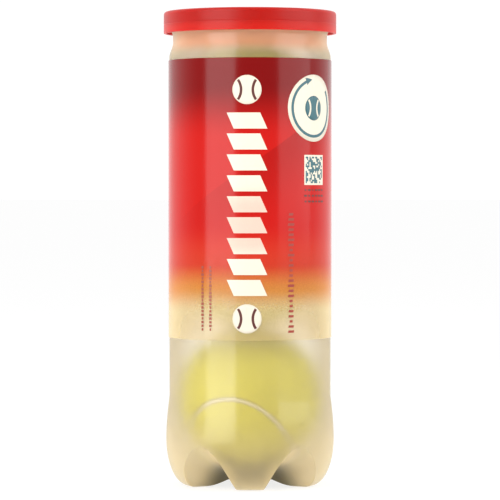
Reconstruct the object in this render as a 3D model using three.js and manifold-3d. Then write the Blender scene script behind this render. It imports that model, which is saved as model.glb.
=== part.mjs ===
// A three-ball tennis ball can: a clear PET can on a five-footed base, its printed sleeve,
// a seamed aluminium end with a ring-pull, a push-on overcap, and the three balls inside.
// Millimetres, +Z up. The origin is on the can's axis, in the plane that its feet stand on.
// One foot points to -Y, and the ring-pull's nose points to +Y.
import * as THREE from "three";
import { mergeVertices } from "three/addons/utils/BufferGeometryUtils.js";
import Module from "manifold-3d";

const wasm = await Module();
wasm.setup();

// ---- Driving dimensions: balls ----
const BALL_R = 33; // over the felt
const FELT = 2.8; // thickness of the cloth
const CORE_WALL = 3.7; // rubber
const CEMENT_WIDTH = 1.6; // the pale seam between the two cloth panels
const CEMENT_SUNK = 0.5; // how far the seam lies under the felt's surface
const CORE_GAP = 0.8; // between felt and rubber
const SEAM_SHAPE = 0.72; // share of the seam curve's first harmonic; sets how narrow the panels' waist is
const BALL_TURNS = [
  { tilt: 61, turn: -17 },
  { tilt: 24, turn: 38 },
  { tilt: 112, turn: 75 },
]; // degrees, from the bottom ball up

// ---- Driving dimensions: can ----
const WALL = 0.55;
const BASE_WALL = 0.9;
const BALL_PLAY = 3.65; // between ball and wall in the straight body
const NECK_PLAY = 1.95; // the same in the neck
const MOUTH_STEP = 1.1; // the mouth is wider than the neck by this
const FLANGE = 0.95; // reach of the rim that the end is seamed on
const FLANGE_THICK = 0.8;
const NECK_DROP = 8.6; // from the flange down to the neck
const FLARE = 4.2; // height over which the neck widens to the mouth
const NECK_BAND = 2.4; // height of the neck's narrowest part
const SHOULDER = 7.1; // height of the S-shaped shoulder

// ---- Driving dimensions: base ----
const FEET = 5;
const HUB_Z = 41; // where the straight wall ends; the base is drawn round this point of the axis
const BULGE = 1.55; // how far the base swells beyond the wall
const BULGE_Z = 21.4; // height of the widest part
const FOOT_CORNER = 9.75; // radial width of the rounded outer corner of a foot
const PAD = 6; // radial length of a foot's flat pad
const DOME_H = 5.4; // height of the underside's centre
const GROOVE_TOP = 19.5; // height where the groove between two feet leaves the wall
const GROOVE_ANGLE = 24.5; // degrees from a groove's middle to its edge, at the ground

// ---- Driving dimensions: end, ring-pull, overcap, sleeve ----
const SHEET = 0.45; // aluminium of the end
const SEAM_SHEET = 0.5;
const APERTURE_PLAY = 1; // between the ball and the opening left when the panel is torn out
const HEADSPACE = 5.45; // from the top ball to the panel
const END_DEPTH = 5.3; // from the top of the seam down to the panel
const SEAM_DEPTH = 3.6; // height of the seam's outer wall
const COMPOUND = 0.4; // thickness of the sealing compound
const BEAD_DEPTH = 0.6; // the panel's stiffening bead
const WELL_R = 10.5; // the panel's sunk middle, which leaves room for a finger
const WELL_DEPTH = 1.2;
const BEAD_INSET = 3.7; // from the score line to the bead
const BEAD_WIDTH = 2.4;
const BEAD_SLOPE = 0.6;
const ROLLED_EDGE = 0.4; // bevel that stands for the seam's rounded crown
const TAB_LENGTH = 28;
const TAB_WIDTH = 17;
const TAB_NOSE_WIDTH = 11;
const TAB_THICK = 1.4;
const TAB_RIM = 2.6; // width of the metal round the finger hole
const TAB_INSET = 2.2; // from the score line to the tab's nose
const RIVET_R = 1.6;
const RIVET_HEAD_R = 2.5;
const RIVET_HEAD_H = 0.7;
const TAB_NOSE = 0.5; // metal beyond the hinge line
const TONGUE_WIDTH = 5.2;
const TONGUE_THICK = 0.5;
const CAP_WALL = 1.15;
const CAP_TOP = 1.2;
const CAP_H = 10.1;
const CAP_PLAY = 0.35; // between the skirt and the seam
const CAP_SINK = 0.6; // how far the cap's top is recessed inside its rim
const CAP_ROUND = 1.6;
const CAP_RIM = 4.9; // width of the raised rim round the recessed top
const GRIP_BEAD = 0.12; // how far the bead inside the skirt stands out
const GRIP_DROP = 0.9; // from the seam's lower edge down to that bead
const SLEEVE = 0.2;
const SLEEVE_BOTTOM = 68.1;
const SLEEVE_DROP = 1.3; // from the shoulder down to the sleeve's top edge

const GAP = 0.3; // clearance between pieces that touch
const SNUG = 0.05; // taken off a clearance where film or metal is drawn tight
const EASE = 0.1; // added to a clearance against a faceted bore
const TURNED_SIDES = 40;

// ---- Sizes that follow ----
const BODY_R = BALL_R + BALL_PLAY + WALL;
const NECK_R = BALL_R + NECK_PLAY + WALL;
const MOUTH_R = NECK_R + MOUTH_STEP;
const BALL_PITCH = 2 * BALL_R + GAP;
const BALL_Z = DOME_H + BASE_WALL + GAP + BALL_R; // centre of the bottom ball
const STACK_TOP = BALL_Z + 2 * BALL_PITCH + BALL_R;
const PANEL_TOP = STACK_TOP + HEADSPACE + SHEET;
const SEAM_TOP = PANEL_TOP + END_DEPTH;
const FLANGE_TOP = SEAM_TOP - SEAM_SHEET - 2 * GAP - COMPOUND;
const NECK_TOP = FLANGE_TOP - NECK_DROP;
const SHOULDER_TOP = NECK_TOP - NECK_BAND;
const SHOULDER_Z = SHOULDER_TOP - SHOULDER;
const FLANGE_R = MOUTH_R + FLANGE;
const SEAM_R = FLANGE_R + GAP + SEAM_SHEET - SNUG;
const CHUCK_R = MOUTH_R - WALL - GAP; // outer face of the end's inner wall
const APERTURE_R = BALL_R + APERTURE_PLAY;
const PANEL_R = APERTURE_R - GAP;
const CAP_R = SEAM_R + CAP_PLAY + CAP_WALL;
const CAP_UNDER = SEAM_TOP + GAP + EASE;
const TAB_BOTTOM = PANEL_TOP + GAP;
const HINGE_Y = PANEL_R - TAB_INSET - TAB_NOSE;
const HINGE_Z = TAB_BOTTOM + TAB_THICK / 2;

const MATERIALS = {
  pet: { color: 0xe9e2cf, roughness: 0.12, metalness: 0, transparent: true, opacity: 0.4 },
  sleeve: { color: 0xc8322c, roughness: 0.35, metalness: 0 },
  aluminium: { color: 0xc9cbce, roughness: 0.3, metalness: 1 },
  compound: { color: 0x8d8a84, roughness: 0.8, metalness: 0 },
  overcap: { color: 0xd9302a, roughness: 0.35, metalness: 0 },
  rubber: { color: 0x3b3a38, roughness: 0.85, metalness: 0 },
  felt: { color: 0xd6d83a, roughness: 1, metalness: 0 },
  cement: { color: 0xe6e4d6, roughness: 0.7, metalness: 0 },
};

const radians = THREE.MathUtils.degToRad;
const lerp = THREE.MathUtils.lerp;
const clamp = THREE.MathUtils.clamp;

function piece(name, geometry, material) {
  const made = new THREE.Mesh(geometry, new THREE.MeshStandardMaterial(MATERIALS[material]));
  made.name = name;
  return made;
}

// ---- Ways of making solids ----

// A solid turned about Z from an outline of [radius, height] points that starts and ends on the
// axis, or that is a closed loop clear of it.
function turned(outline, sides = TURNED_SIDES) {
  const onAxis = outline[0][0] === 0;
  const loop = onAxis ? [...outline] : [...outline, outline[0]];
  const area = THREE.ShapeUtils.area(loop.map(([r, z]) => new THREE.Vector2(r, z)));
  if (area < 0) loop.reverse();
  const points = loop.map(([r, z]) => new THREE.Vector2(r, z));
  return new THREE.LatheGeometry(points, sides).rotateX(Math.PI / 2);
}

// A skin through rings of points, all turning the same way; a ring of one point is a pole. A
// closed skin joins its last ring to its first, and a ring folded flat on itself closes an end.
function skin(rings, closed = false) {
  const sides = Math.max(...rings.map((ring) => ring.length));
  const at = (ring, j) => ring[j % ring.length];
  const corners = [];
  const last = closed ? rings.length : rings.length - 1;
  for (let i = 0; i < last; i++) {
    const low = rings[i];
    const high = rings[(i + 1) % rings.length];
    for (let j = 0; j < sides; j++) {
      if (low.length > 1) corners.push(at(low, j), at(low, j + 1), at(high, j + 1));
      if (high.length > 1) corners.push(at(low, j), at(high, j + 1), at(high, j));
    }
  }
  return new THREE.BufferGeometry().setFromPoints(corners);
}

function solid(geometry) {
  const bare = geometry.clone();
  bare.deleteAttribute("normal");
  bare.deleteAttribute("uv");
  const merged = mergeVertices(bare, 1e-4);
  const vertProperties = merged.attributes.position.array;
  const triVerts = new Uint32Array(merged.index.array);
  return new wasm.Manifold(new wasm.Mesh({ numProp: 3, vertProperties, triVerts }));
}

function geometryOf(made) {
  const mesh = made.getMesh();
  return new THREE.BufferGeometry()
    .setAttribute("position", new THREE.BufferAttribute(mesh.vertProperties, 3))
    .setIndex(new THREE.BufferAttribute(mesh.triVerts, 1));
}

// ---- Can ----

const BASE_R = BODY_R + BULGE;
const PAD_OUT = BASE_R - FOOT_CORNER;
const PAD_IN = PAD_OUT - PAD;
const SECTOR = 360 / FEET;
const GROOVE_COLUMNS = 3; // from a groove's middle to its edge
const FOOT_COLUMNS = 2; // from there to the middle of the foot
const HALF_COLUMNS = GROOVE_COLUMNS + FOOT_COLUMNS;
const COLUMNS = 2 * HALF_COLUMNS * FEET;

// The middle of a foot in section, from the centre of the underside out and up to the wall.
function footOutline() {
  const inner = [1, 2, 3].map((i) => {
    const r = (PAD_IN * i) / 4;
    return [r, (DOME_H * (1 + Math.cos((Math.PI * r) / PAD_IN))) / 2];
  });
  const corner = [7, 6, 5, 4, 3, 2, 1, 0].map((i) => {
    const t = ((i / 7) * Math.PI) / 2;
    return [PAD_OUT + FOOT_CORNER * Math.cos(t), BULGE_Z * (1 - Math.sin(t))];
  });
  const swell = [2, 1].map((i) => {
    const part = i / 3;
    return [BODY_R + BULGE * Math.sin((part * Math.PI) / 2), lerp(HUB_Z, BULGE_Z, part)];
  });
  return [...inner, [PAD_IN, 0], ...corner, ...swell, [BODY_R, HUB_Z]];
}

// The roof of a groove is part of a ball that meets the underside's centre and the wall.
const mouthR = PAD_OUT + FOOT_CORNER * Math.sqrt(1 - ((BULGE_Z - GROOVE_TOP) / BULGE_Z) ** 2);
const roofRise = GROOVE_TOP - DOME_H;
const roofR = (mouthR ** 2 + roofRise ** 2) / (2 * roofRise);
const roofOffset = DOME_H + roofR - HUB_Z;

// Distance from the hub to the roof, at an angle from straight down.
function roofReach(angle) {
  const along = roofOffset * Math.cos(angle);
  return -along + Math.sqrt(along ** 2 + roofR ** 2 - roofOffset ** 2);
}

// One ring of the base, through a point of the foot's outline and moved in by inset.
function baseRing([r, z], inset) {
  const angle = Math.atan2(r, HUB_Z - z);
  const footReach = Math.hypot(r, HUB_Z - z);
  const depth = z < GROOVE_TOP ? footReach - roofReach(angle) : 0;
  const groove = GROOVE_ANGLE * Math.sqrt(Math.max(0, 1 - z / GROOVE_TOP));
  const evenEdge = ((SECTOR / 2) * GROOVE_COLUMNS) / HALF_COLUMNS;
  const calm = clamp((z - GROOVE_TOP) / (HUB_Z - GROOVE_TOP), 0, 1);
  const edge = Math.max(groove, lerp(evenEdge / 3, evenEdge, calm));
  const ring = [];
  for (let column = 0; column < COLUMNS; column++) {
    const inSector = column % (2 * HALF_COLUMNS);
    const fromGroove = Math.min(inSector, 2 * HALF_COLUMNS - inSector);
    const past = fromGroove - GROOVE_COLUMNS;
    const turn =
      past < 0
        ? (edge * fromGroove) / GROOVE_COLUMNS
        : edge + ((SECTOR / 2 - edge) * past) / FOOT_COLUMNS;
    const sector = Math.floor(column / (2 * HALF_COLUMNS)) * SECTOR;
    const way = inSector <= HALF_COLUMNS ? turn : SECTOR - turn;
    const azimuth = radians(-90 - SECTOR / 2 + sector + way);
    const cut = groove > 0 ? Math.max(0, 1 - (turn / groove) ** 2) : 0;
    const reach = footReach - depth * cut - inset;
    const out = reach * Math.sin(angle);
    const up = HUB_Z - reach * Math.cos(angle);
    ring.push(new THREE.Vector3(out * Math.cos(azimuth), out * Math.sin(azimuth), up));
  }
  return ring;
}

function roundRing([r, z]) {
  return Array.from({ length: COLUMNS }, (_, column) => {
    const azimuth = radians(-90 - SECTOR / 2 + (360 * column) / COLUMNS);
    return new THREE.Vector3(r * Math.cos(azimuth), r * Math.sin(azimuth), z);
  });
}

// The wall above the base, moved in by inset, from the shoulder to just under the flange.
function upperOutline(inset) {
  const shoulder = [0, 1, 2, 3, 4].map((i) => {
    const fall = (1 - Math.cos((Math.PI * i) / 4)) / 2;
    return [lerp(BODY_R, NECK_R, fall) - inset, lerp(SHOULDER_Z, SHOULDER_TOP, i / 4)];
  });
  return [...shoulder, [NECK_R - inset, NECK_TOP], [MOUTH_R - inset, NECK_TOP + FLARE]];
}

function canBody() {
  const foot = footOutline();
  const insetAt = ([, z]) => lerp(BASE_WALL, WALL, z / HUB_Z);
  const outside = [
    ...foot.map((point) => baseRing(point, 0)),
    ...upperOutline(0).map(roundRing),
    roundRing([MOUTH_R, FLANGE_TOP - FLANGE_THICK]),
    roundRing([FLANGE_R, FLANGE_TOP - FLANGE_THICK]),
    roundRing([FLANGE_R, FLANGE_TOP]),
  ];
  const inside = [
    ...foot.map((point) => baseRing(point, insetAt(point))),
    ...upperOutline(WALL).map(roundRing),
    roundRing([MOUTH_R - WALL, FLANGE_TOP]),
  ];
  const underside = [new THREE.Vector3(0, 0, DOME_H)];
  const floor = [new THREE.Vector3(0, 0, DOME_H + BASE_WALL)];
  return piece("can_body", skin([underside, ...outside, ...inside.reverse(), floor]), "pet");
}

function labelSleeve() {
  const inner = BODY_R + GAP - SNUG;
  const top = SHOULDER_Z - SLEEVE_DROP;
  const outline = [
    [inner, SLEEVE_BOTTOM],
    [inner + SLEEVE, SLEEVE_BOTTOM],
    [inner + SLEEVE, top],
    [inner, top],
  ];
  return piece("label_sleeve", turned(outline), "sleeve");
}

// ---- End ----

// The ring that stays on the can: rolled over and under the flange, then down inside the mouth
// to the ledge that the panel tears away from.
function seamRing() {
  const low = SEAM_TOP - SEAM_DEPTH;
  const hook = MOUTH_R + GAP + EASE;
  const outer = SEAM_R - SEAM_SHEET + SNUG;
  const crown = SEAM_TOP - SEAM_SHEET;
  const bore = CHUCK_R - SEAM_SHEET;
  const outline = [
    [hook, low],
    [SEAM_R, low],
    [SEAM_R, crown],
    [SEAM_R - ROLLED_EDGE, SEAM_TOP],
    [bore + ROLLED_EDGE, SEAM_TOP],
    [bore, SEAM_TOP - ROLLED_EDGE],
    [bore, PANEL_TOP],
    [APERTURE_R, PANEL_TOP],
    [APERTURE_R, PANEL_TOP - SHEET],
    [CHUCK_R, PANEL_TOP - SHEET],
    [CHUCK_R, crown],
    [outer, crown],
    [outer, low + SEAM_SHEET],
    [hook, low + SEAM_SHEET],
  ];
  return piece("seam_ring", turned(outline), "aluminium");
}

function sealingCompound() {
  const low = FLANGE_TOP + GAP;
  const inner = CHUCK_R + GAP + EASE;
  const outline = [
    [inner, low],
    [FLANGE_R, low],
    [FLANGE_R, low + COMPOUND],
    [inner, low + COMPOUND],
  ];
  return piece("sealing_compound", turned(outline), "compound");
}

// The panel has a stiffening bead, a sunk middle, and a rivet raised from its own metal.
function tearPanel() {
  const beadOut = PANEL_R - BEAD_INSET;
  const beadIn = beadOut - BEAD_WIDTH;
  const face = [
    [0, -WELL_DEPTH],
    [WELL_R - WELL_DEPTH, -WELL_DEPTH],
    [WELL_R, 0],
    [beadIn, 0],
    [beadIn + BEAD_SLOPE, -BEAD_DEPTH],
    [beadOut - BEAD_SLOPE, -BEAD_DEPTH],
    [beadOut, 0],
    [PANEL_R, 0],
  ];
  const top = face.map(([r, z]) => [r, PANEL_TOP + z]);
  const under = face.map(([r, z]) => [r, PANEL_TOP + z - SHEET]).reverse();
  const disc = solid(turned([...top, ...under]));
  const headLow = TAB_BOTTOM + TONGUE_THICK + GAP;
  const headTop = headLow + RIVET_HEAD_H;
  const chamfer = 0.25;
  const rivet = [
    [0, PANEL_TOP - SHEET / 2],
    [RIVET_R, PANEL_TOP - SHEET / 2],
    [RIVET_R, headLow],
    [RIVET_HEAD_R, headLow],
    [RIVET_HEAD_R, headTop - chamfer],
    [RIVET_HEAD_R - chamfer, headTop],
    [0, headTop],
  ];
  const head = solid(turned(rivet, 12).translate(0, RIVET_Y, 0));
  return piece("tear_panel", geometryOf(disc.add(head)), "aluminium");
}

// ---- Ring-pull: drawn about its hinge line, with the ring towards -Y ----

const WINDOW_NEAR = 2.9; // the window that the rivet and tongue stand in
const WINDOW_FAR = 12;
const FINGER_BAR = 2.6; // metal between the window and the finger hole
const RIVET_BACK = 6.5; // from the hinge line to the rivet
const RIVET_Y = HINGE_Y - RIVET_BACK;

function pullTab() {
  const half = TAB_WIDTH / 2;
  const noseHalf = TAB_NOSE_WIDTH / 2;
  const ringY = -(TAB_LENGTH - TAB_NOSE - half);
  const widest = -9; // where the tab's sides become parallel
  const corner = 1;
  const flare = 0.3;
  const outline = new THREE.Shape();
  outline.moveTo(-noseHalf + corner, TAB_NOSE);
  outline.quadraticCurveTo(-noseHalf, TAB_NOSE, -noseHalf - flare, -corner);
  outline.lineTo(-half, widest);
  outline.absarc(0, ringY, half, Math.PI, 2 * Math.PI, false);
  outline.lineTo(half, widest);
  outline.lineTo(noseHalf + flare, -corner);
  outline.quadraticCurveTo(noseHalf, TAB_NOSE, noseHalf - corner, TAB_NOSE);

  const side = TONGUE_WIDTH / 2 + 0.8;
  const chamfer = 1.5;
  const window = new THREE.Path();
  window.moveTo(-side, -WINDOW_NEAR);
  window.lineTo(side, -WINDOW_NEAR);
  window.lineTo(side, -WINDOW_FAR + chamfer);
  window.lineTo(side - chamfer, -WINDOW_FAR);
  window.lineTo(-side + chamfer, -WINDOW_FAR);
  window.lineTo(-side, -WINDOW_FAR + chamfer);

  const hole = half - TAB_RIM;
  const finger = new THREE.Path();
  finger.moveTo(-hole, -WINDOW_FAR - FINGER_BAR);
  finger.lineTo(-hole, ringY);
  finger.absarc(0, ringY, hole, Math.PI, 2 * Math.PI, false);
  finger.lineTo(hole, -WINDOW_FAR - FINGER_BAR);

  outline.holes.push(window, finger);
  const bevel = 0.3;
  const plate = new THREE.ExtrudeGeometry(outline, {
    depth: TAB_THICK - 2 * bevel,
    bevelThickness: bevel,
    bevelSize: bevel,
    bevelOffset: -bevel,
    bevelSegments: 1,
    curveSegments: 8,
  });
  plate.translate(0, 0, bevel - TAB_THICK / 2);
  const made = piece("pull_tab", plate, "aluminium");
  made.position.set(0, HINGE_Y, HINGE_Z);
  return made;
}

// The tongue that the rivet holds. The tab bends off it along the hinge line.
function tabTongue() {
  const half = TONGUE_WIDTH / 2;
  const outline = new THREE.Shape();
  outline.moveTo(half, -WINDOW_NEAR - GAP);
  outline.lineTo(-half, -WINDOW_NEAR - GAP);
  outline.absarc(0, -RIVET_BACK, half, Math.PI, 2 * Math.PI, false);
  const hole = new THREE.Path();
  hole.absarc(0, -RIVET_BACK, RIVET_R + GAP, 0, 2 * Math.PI, false);
  outline.holes.push(hole);
  const plate = new THREE.ExtrudeGeometry(outline, {
    depth: TONGUE_THICK,
    bevelEnabled: false,
    curveSegments: 6,
  });
  const made = piece("tab_tongue", plate, "aluminium");
  made.position.set(0, HINGE_Y, TAB_BOTTOM);
  return made;
}

// ---- Overcap ----

function overcap() {
  const top = CAP_UNDER + CAP_TOP;
  const bottom = top - CAP_H;
  const inside = CAP_R - CAP_WALL;
  const grip = SEAM_TOP - SEAM_DEPTH - GRIP_DROP;
  const gripHalf = 0.5;
  const rim = CAP_R - CAP_RIM;
  const rounding = [0, 1, 2, 3].map((i) => {
    const t = ((i / 3) * Math.PI) / 2;
    return [
      CAP_R - CAP_ROUND * (1 - Math.sin(t)),
      top - CAP_ROUND * (1 - Math.cos(t)),
    ];
  });
  const outline = [
    [0, top - CAP_SINK],
    [rim - CAP_SINK, top - CAP_SINK],
    [rim, top],
    ...rounding,
    [CAP_R, bottom],
    [inside, bottom],
    [inside, grip - gripHalf],
    [inside - GRIP_BEAD, grip],
    [inside, grip + gripHalf],
    [inside, CAP_UNDER],
    [rim + CAP_SINK / 2, CAP_UNDER],
    [rim - CAP_SINK / 2, CAP_UNDER - CAP_SINK],
    [0, CAP_UNDER - CAP_SINK],
  ];
  return piece("overcap", turned(outline), "overcap");
}

// ---- Balls ----

const SEAM_STEPS = 36;
const CORE_R = BALL_R - FELT - CORE_GAP;

// The seam curve on a unit ball, as a direction for each step round it. Its lobes point along
// X under the equator and along Y above it.
function seamPoint(step) {
  const a = SEAM_SHAPE;
  const b = 1 - SEAM_SHAPE;
  const t = (2 * Math.PI * step) / SEAM_STEPS;
  const x = a * Math.cos(t) + b * Math.cos(3 * t);
  const y = a * Math.sin(t) - b * Math.sin(3 * t);
  const z = 2 * Math.sqrt(a * b) * Math.sin(2 * t);
  return new THREE.Vector3((x - y) * Math.SQRT1_2, (x + y) * Math.SQRT1_2, z);
}

// The seam curve moved sideways by an angle, towards the panel at the top for a positive one.
function besideSeam(step, angle) {
  const here = seamPoint(step);
  const ahead = seamPoint(step + 0.01).sub(seamPoint(step - 0.01));
  const across = new THREE.Vector3().crossVectors(here, ahead).normalize();
  return here.multiplyScalar(Math.cos(angle)).addScaledVector(across, Math.sin(angle));
}

// One cloth panel, a thick dumbbell: rows of points from its spine, an arc along X over the
// top of the ball, out to its edge.
function feltPanel(name) {
  const rows = 4;
  const reach = radians(100);
  const edgeAngle = (CEMENT_WIDTH / 2 + GAP) / BALL_R;
  const spine = (step) => {
    const lean = reach * Math.cos((2 * Math.PI * step) / SEAM_STEPS - (3 * Math.PI) / 4);
    return new THREE.Vector3(-Math.sin(lean), 0, Math.cos(lean));
  };
  const row = (part, radius) =>
    Array.from({ length: SEAM_STEPS }, (_, step) => {
      const from = spine(step);
      const angle = from.angleTo(besideSeam(step, edgeAngle));
      const axis = new THREE.Vector3().crossVectors(from, besideSeam(step, edgeAngle)).normalize();
      return from.applyAxisAngle(axis, angle * part).multiplyScalar(radius);
    });
  const parts = Array.from({ length: rows + 1 }, (_, i) => i / rows);
  const outer = parts.map((part) => row(part, BALL_R));
  const inner = parts.map((part) => row(part, BALL_R - FELT));
  return piece(name, skin([...inner, ...outer.reverse()]), "felt");
}

function seamCement(name) {
  const side = CEMENT_WIDTH / 2 / BALL_R;
  const bed = BALL_R - FELT + EASE;
  const corners = [
    [bed, -side],
    [BALL_R - CEMENT_SUNK, -side],
    [BALL_R - CEMENT_SUNK, side],
    [bed, side],
  ];
  const rings = corners.map(([radius, angle]) =>
    Array.from({ length: SEAM_STEPS }, (_, step) => besideSeam(step, angle).multiplyScalar(radius)),
  );
  return piece(name, skin(rings, true), "cement");
}

// One of the two rubber cups that are joined into the ball's hollow core.
function coreHalf(name) {
  const steps = 4;
  const arc = (radius) =>
    Array.from({ length: steps + 1 }, (_, i) => {
      const t = ((i / steps) * Math.PI) / 2;
      return [i === 0 ? 0 : radius * Math.sin(t), Math.max(radius * Math.cos(t), GAP / 2)];
    });
  const outer = arc(CORE_R);
  const inner = arc(CORE_R - CORE_WALL);
  return piece(name, turned([...inner, ...outer.reverse()], 14), "rubber");
}

function ball(number) {
  const made = new THREE.Group();
  const name = (part) => `ball_${number}_${part}`;
  const lowerFelt = feltPanel(name("felt_b"));
  lowerFelt.rotateOnAxis(new THREE.Vector3(1, 1, 0).normalize(), Math.PI);
  const lowerCore = coreHalf(name("core_lower"));
  lowerCore.rotation.x = Math.PI;
  made.add(
    feltPanel(name("felt_a")),
    lowerFelt,
    seamCement(name("seam_cement")),
    coreHalf(name("core_upper")),
    lowerCore,
  );
  const { tilt, turn } = BALL_TURNS[number - 1];
  made.rotation.set(radians(tilt), 0, radians(turn), "ZXY");
  made.position.z = BALL_Z + (number - 1) * BALL_PITCH;
  return made;
}

// ---- Assembly ----

const can = new THREE.Group();
can.add(canBody(), labelSleeve(), seamRing(), sealingCompound());
can.add(tearPanel(), tabTongue(), pullTab(), overcap());
for (const number of [1, 2, 3]) can.add(ball(number));

export default can;
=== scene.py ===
"""A three-ball tennis ball can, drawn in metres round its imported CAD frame."""

import math

import bmesh
import bpy
import numpy as np
from bpy.props import FloatProperty, FloatVectorProperty, IntProperty, PointerProperty
from mathutils import Matrix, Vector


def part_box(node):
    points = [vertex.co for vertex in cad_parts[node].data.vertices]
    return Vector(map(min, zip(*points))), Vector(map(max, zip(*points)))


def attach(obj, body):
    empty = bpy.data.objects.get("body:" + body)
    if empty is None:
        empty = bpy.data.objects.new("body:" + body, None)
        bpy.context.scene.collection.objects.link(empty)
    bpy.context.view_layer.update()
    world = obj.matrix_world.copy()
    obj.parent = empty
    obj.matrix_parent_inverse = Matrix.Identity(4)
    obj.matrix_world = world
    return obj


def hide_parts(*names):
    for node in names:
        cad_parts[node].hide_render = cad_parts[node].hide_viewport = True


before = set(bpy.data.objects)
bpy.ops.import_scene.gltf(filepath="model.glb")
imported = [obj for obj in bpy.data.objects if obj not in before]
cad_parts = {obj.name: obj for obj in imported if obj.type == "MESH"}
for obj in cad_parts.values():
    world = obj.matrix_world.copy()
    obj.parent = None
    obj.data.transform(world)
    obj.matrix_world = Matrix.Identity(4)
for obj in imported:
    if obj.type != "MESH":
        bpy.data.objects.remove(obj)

bl_info = {
    "name": "Tennis Ball Can",
    "version": (1, 0, 0),
    "blender": (4, 5, 0),
    "location": "3D View > Sidebar > Ball Can",
    "description": "Builds a clear three-ball can with sleeve, ring-pull end, overcap and balls",
    "category": "Object",
}

MM = 0.001
TURN = 2 * math.pi
WHITE = (1.0, 1.0, 1.0)

CAP_LOW, CAP_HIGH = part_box("overcap")
SLEEVE_LOW, SLEEVE_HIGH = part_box("label_sleeve")
SEAM_LOW, SEAM_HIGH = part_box("seam_ring")
CAN_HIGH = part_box("can_body")[1]
PANEL_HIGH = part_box("tear_panel")[1]
TAB_LOW, TAB_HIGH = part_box("pull_tab")
TONGUE_LOW, TONGUE_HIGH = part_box("tab_tongue")
COMPOUND_LOW, COMPOUND_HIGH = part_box("sealing_compound")
BALLS = (1, 2, 3)
BALL_TURNS = ((61, -17), (24, 38), (112, 75))  # tilt, then turn, in degrees, from the bottom up

FLANGE_THICK = 0.8 * MM
NECK_DROP = 8.6 * MM  # from the flange down to the neck
NECK_BAND = 2.4 * MM  # height of the neck's narrowest part
SHOULDER = 7.1 * MM  # height of the S-shaped shoulder
FLARE = 4.2 * MM  # height over which the neck widens to the mouth
SEAM_DEPTH = 3.6 * MM  # height of the seam's outer wall
RING_SIDES = 192  # of the metal end, all round
WIDE_SIDES = 216  # of the sleeve and the overcap, all round


# ---- Settings ----


def length(name, description, value):
    return FloatProperty(
        name=name, description=description, default=value, unit="LENGTH", precision=5
    )


def angle(name, description, degrees):
    value = math.radians(degrees)
    return FloatProperty(name=name, description=description, default=value, unit="ROTATION")


def share(name, description, value):
    return FloatProperty(name=name, description=description, default=value, subtype="FACTOR")


def colour(name, description, value):
    return FloatVectorProperty(
        name=name, description=description, default=value, subtype="COLOR", size=3, min=0, max=1
    )


class ShellSettings(bpy.types.PropertyGroup):
    wall: length("Wall", "Thickness of the straight wall", 0.55 * MM)
    base_wall: length("Base Wall", "Thickness of the underside", 0.9 * MM)
    body_radius: length("Body Radius", "Radius of the straight wall", 37.2 * MM)
    neck_radius: length("Neck Radius", "Radius of the neck", 35.5 * MM)
    mouth_radius: length("Mouth Radius", "Radius under the flange", 36.6 * MM)
    flange_radius: length("Flange Radius", "Radius of the flange", 37.55 * MM)
    bulge: length("Bulge", "Swell of the base beyond the wall", 1.55 * MM)
    hub: length("Hub", "Height where the straight wall ends", 41 * MM)
    bulge_height: length("Bulge Height", "Height of the widest part", 21.4 * MM)
    foot_corner: length("Foot Corner", "Radial width of a foot's rounded corner", 9.75 * MM)
    pad: length("Pad", "Radial length of a foot's pad", 6 * MM)
    dome: length("Dome", "Height of the underside's centre", 5.4 * MM)
    groove_top: length("Groove Top", "Height where a groove leaves the wall", 19.5 * MM)
    groove_angle: angle("Groove Angle", "From a groove's middle to its edge at the ground", 24.5)
    feet: IntProperty(name="Feet", description="Number of feet", default=5, min=3, max=8)
    colour: colour("Colour", "Tint of the blown plastic", (0.88, 0.75, 0.52))
    blush: colour("Blush", "Red light caught in the thick neck", (1.0, 0.52, 0.30))
    milk: colour("Milk", "Thick, cloudy plastic of the feet", (0.90, 0.77, 0.51))
    shade: colour("Shade", "Steep walls between the feet", (0.18, 0.145, 0.06))
    haze: share("Haze", "How much a wall hides when seen square on", 0.085)


class SleeveSettings(bpy.types.PropertyGroup):
    thickness: length("Thickness", "Thickness of the film", 0.2 * MM)
    crimson: colour("Crimson", "Ink at the top", (0.20, 0.0004, 0.0005))
    red: colour("Red", "Ink of the middle", (0.55, 0.007, 0.004))
    coral: colour("Coral", "Ink where it starts to fade", (0.62, 0.045, 0.018))
    amber: colour("Amber", "Ink where it has half gone", (0.76, 0.29, 0.06))
    straw: colour("Straw", "Last, thinnest ink", (0.85, 0.69, 0.38))
    fade_high: length("Fade Start", "Height where the ink starts to thin", 112 * MM)
    fade_low: length("Fade End", "Height where the ink has gone", 70 * MM)
    cream: colour("Cream", "Pale ink of the printing", (0.86, 0.79, 0.64))
    teal: colour("Teal", "Ink of the badge's arrow", (0.03, 0.14, 0.17))
    dark: colour("Dark", "Ink of the small marks", (0.10, 0.015, 0.012))
    bars: IntProperty(name="Bars", description="Slanted bars in the column", default=9, min=1)
    bar_width: length("Bar Width", "Width of a slanted bar", 15.2 * MM)
    bar_height: length("Bar Height", "Height of a slanted bar", 7.2 * MM)
    modules: IntProperty(name="Modules", description="Squares along a side of the code", default=15)


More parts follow.
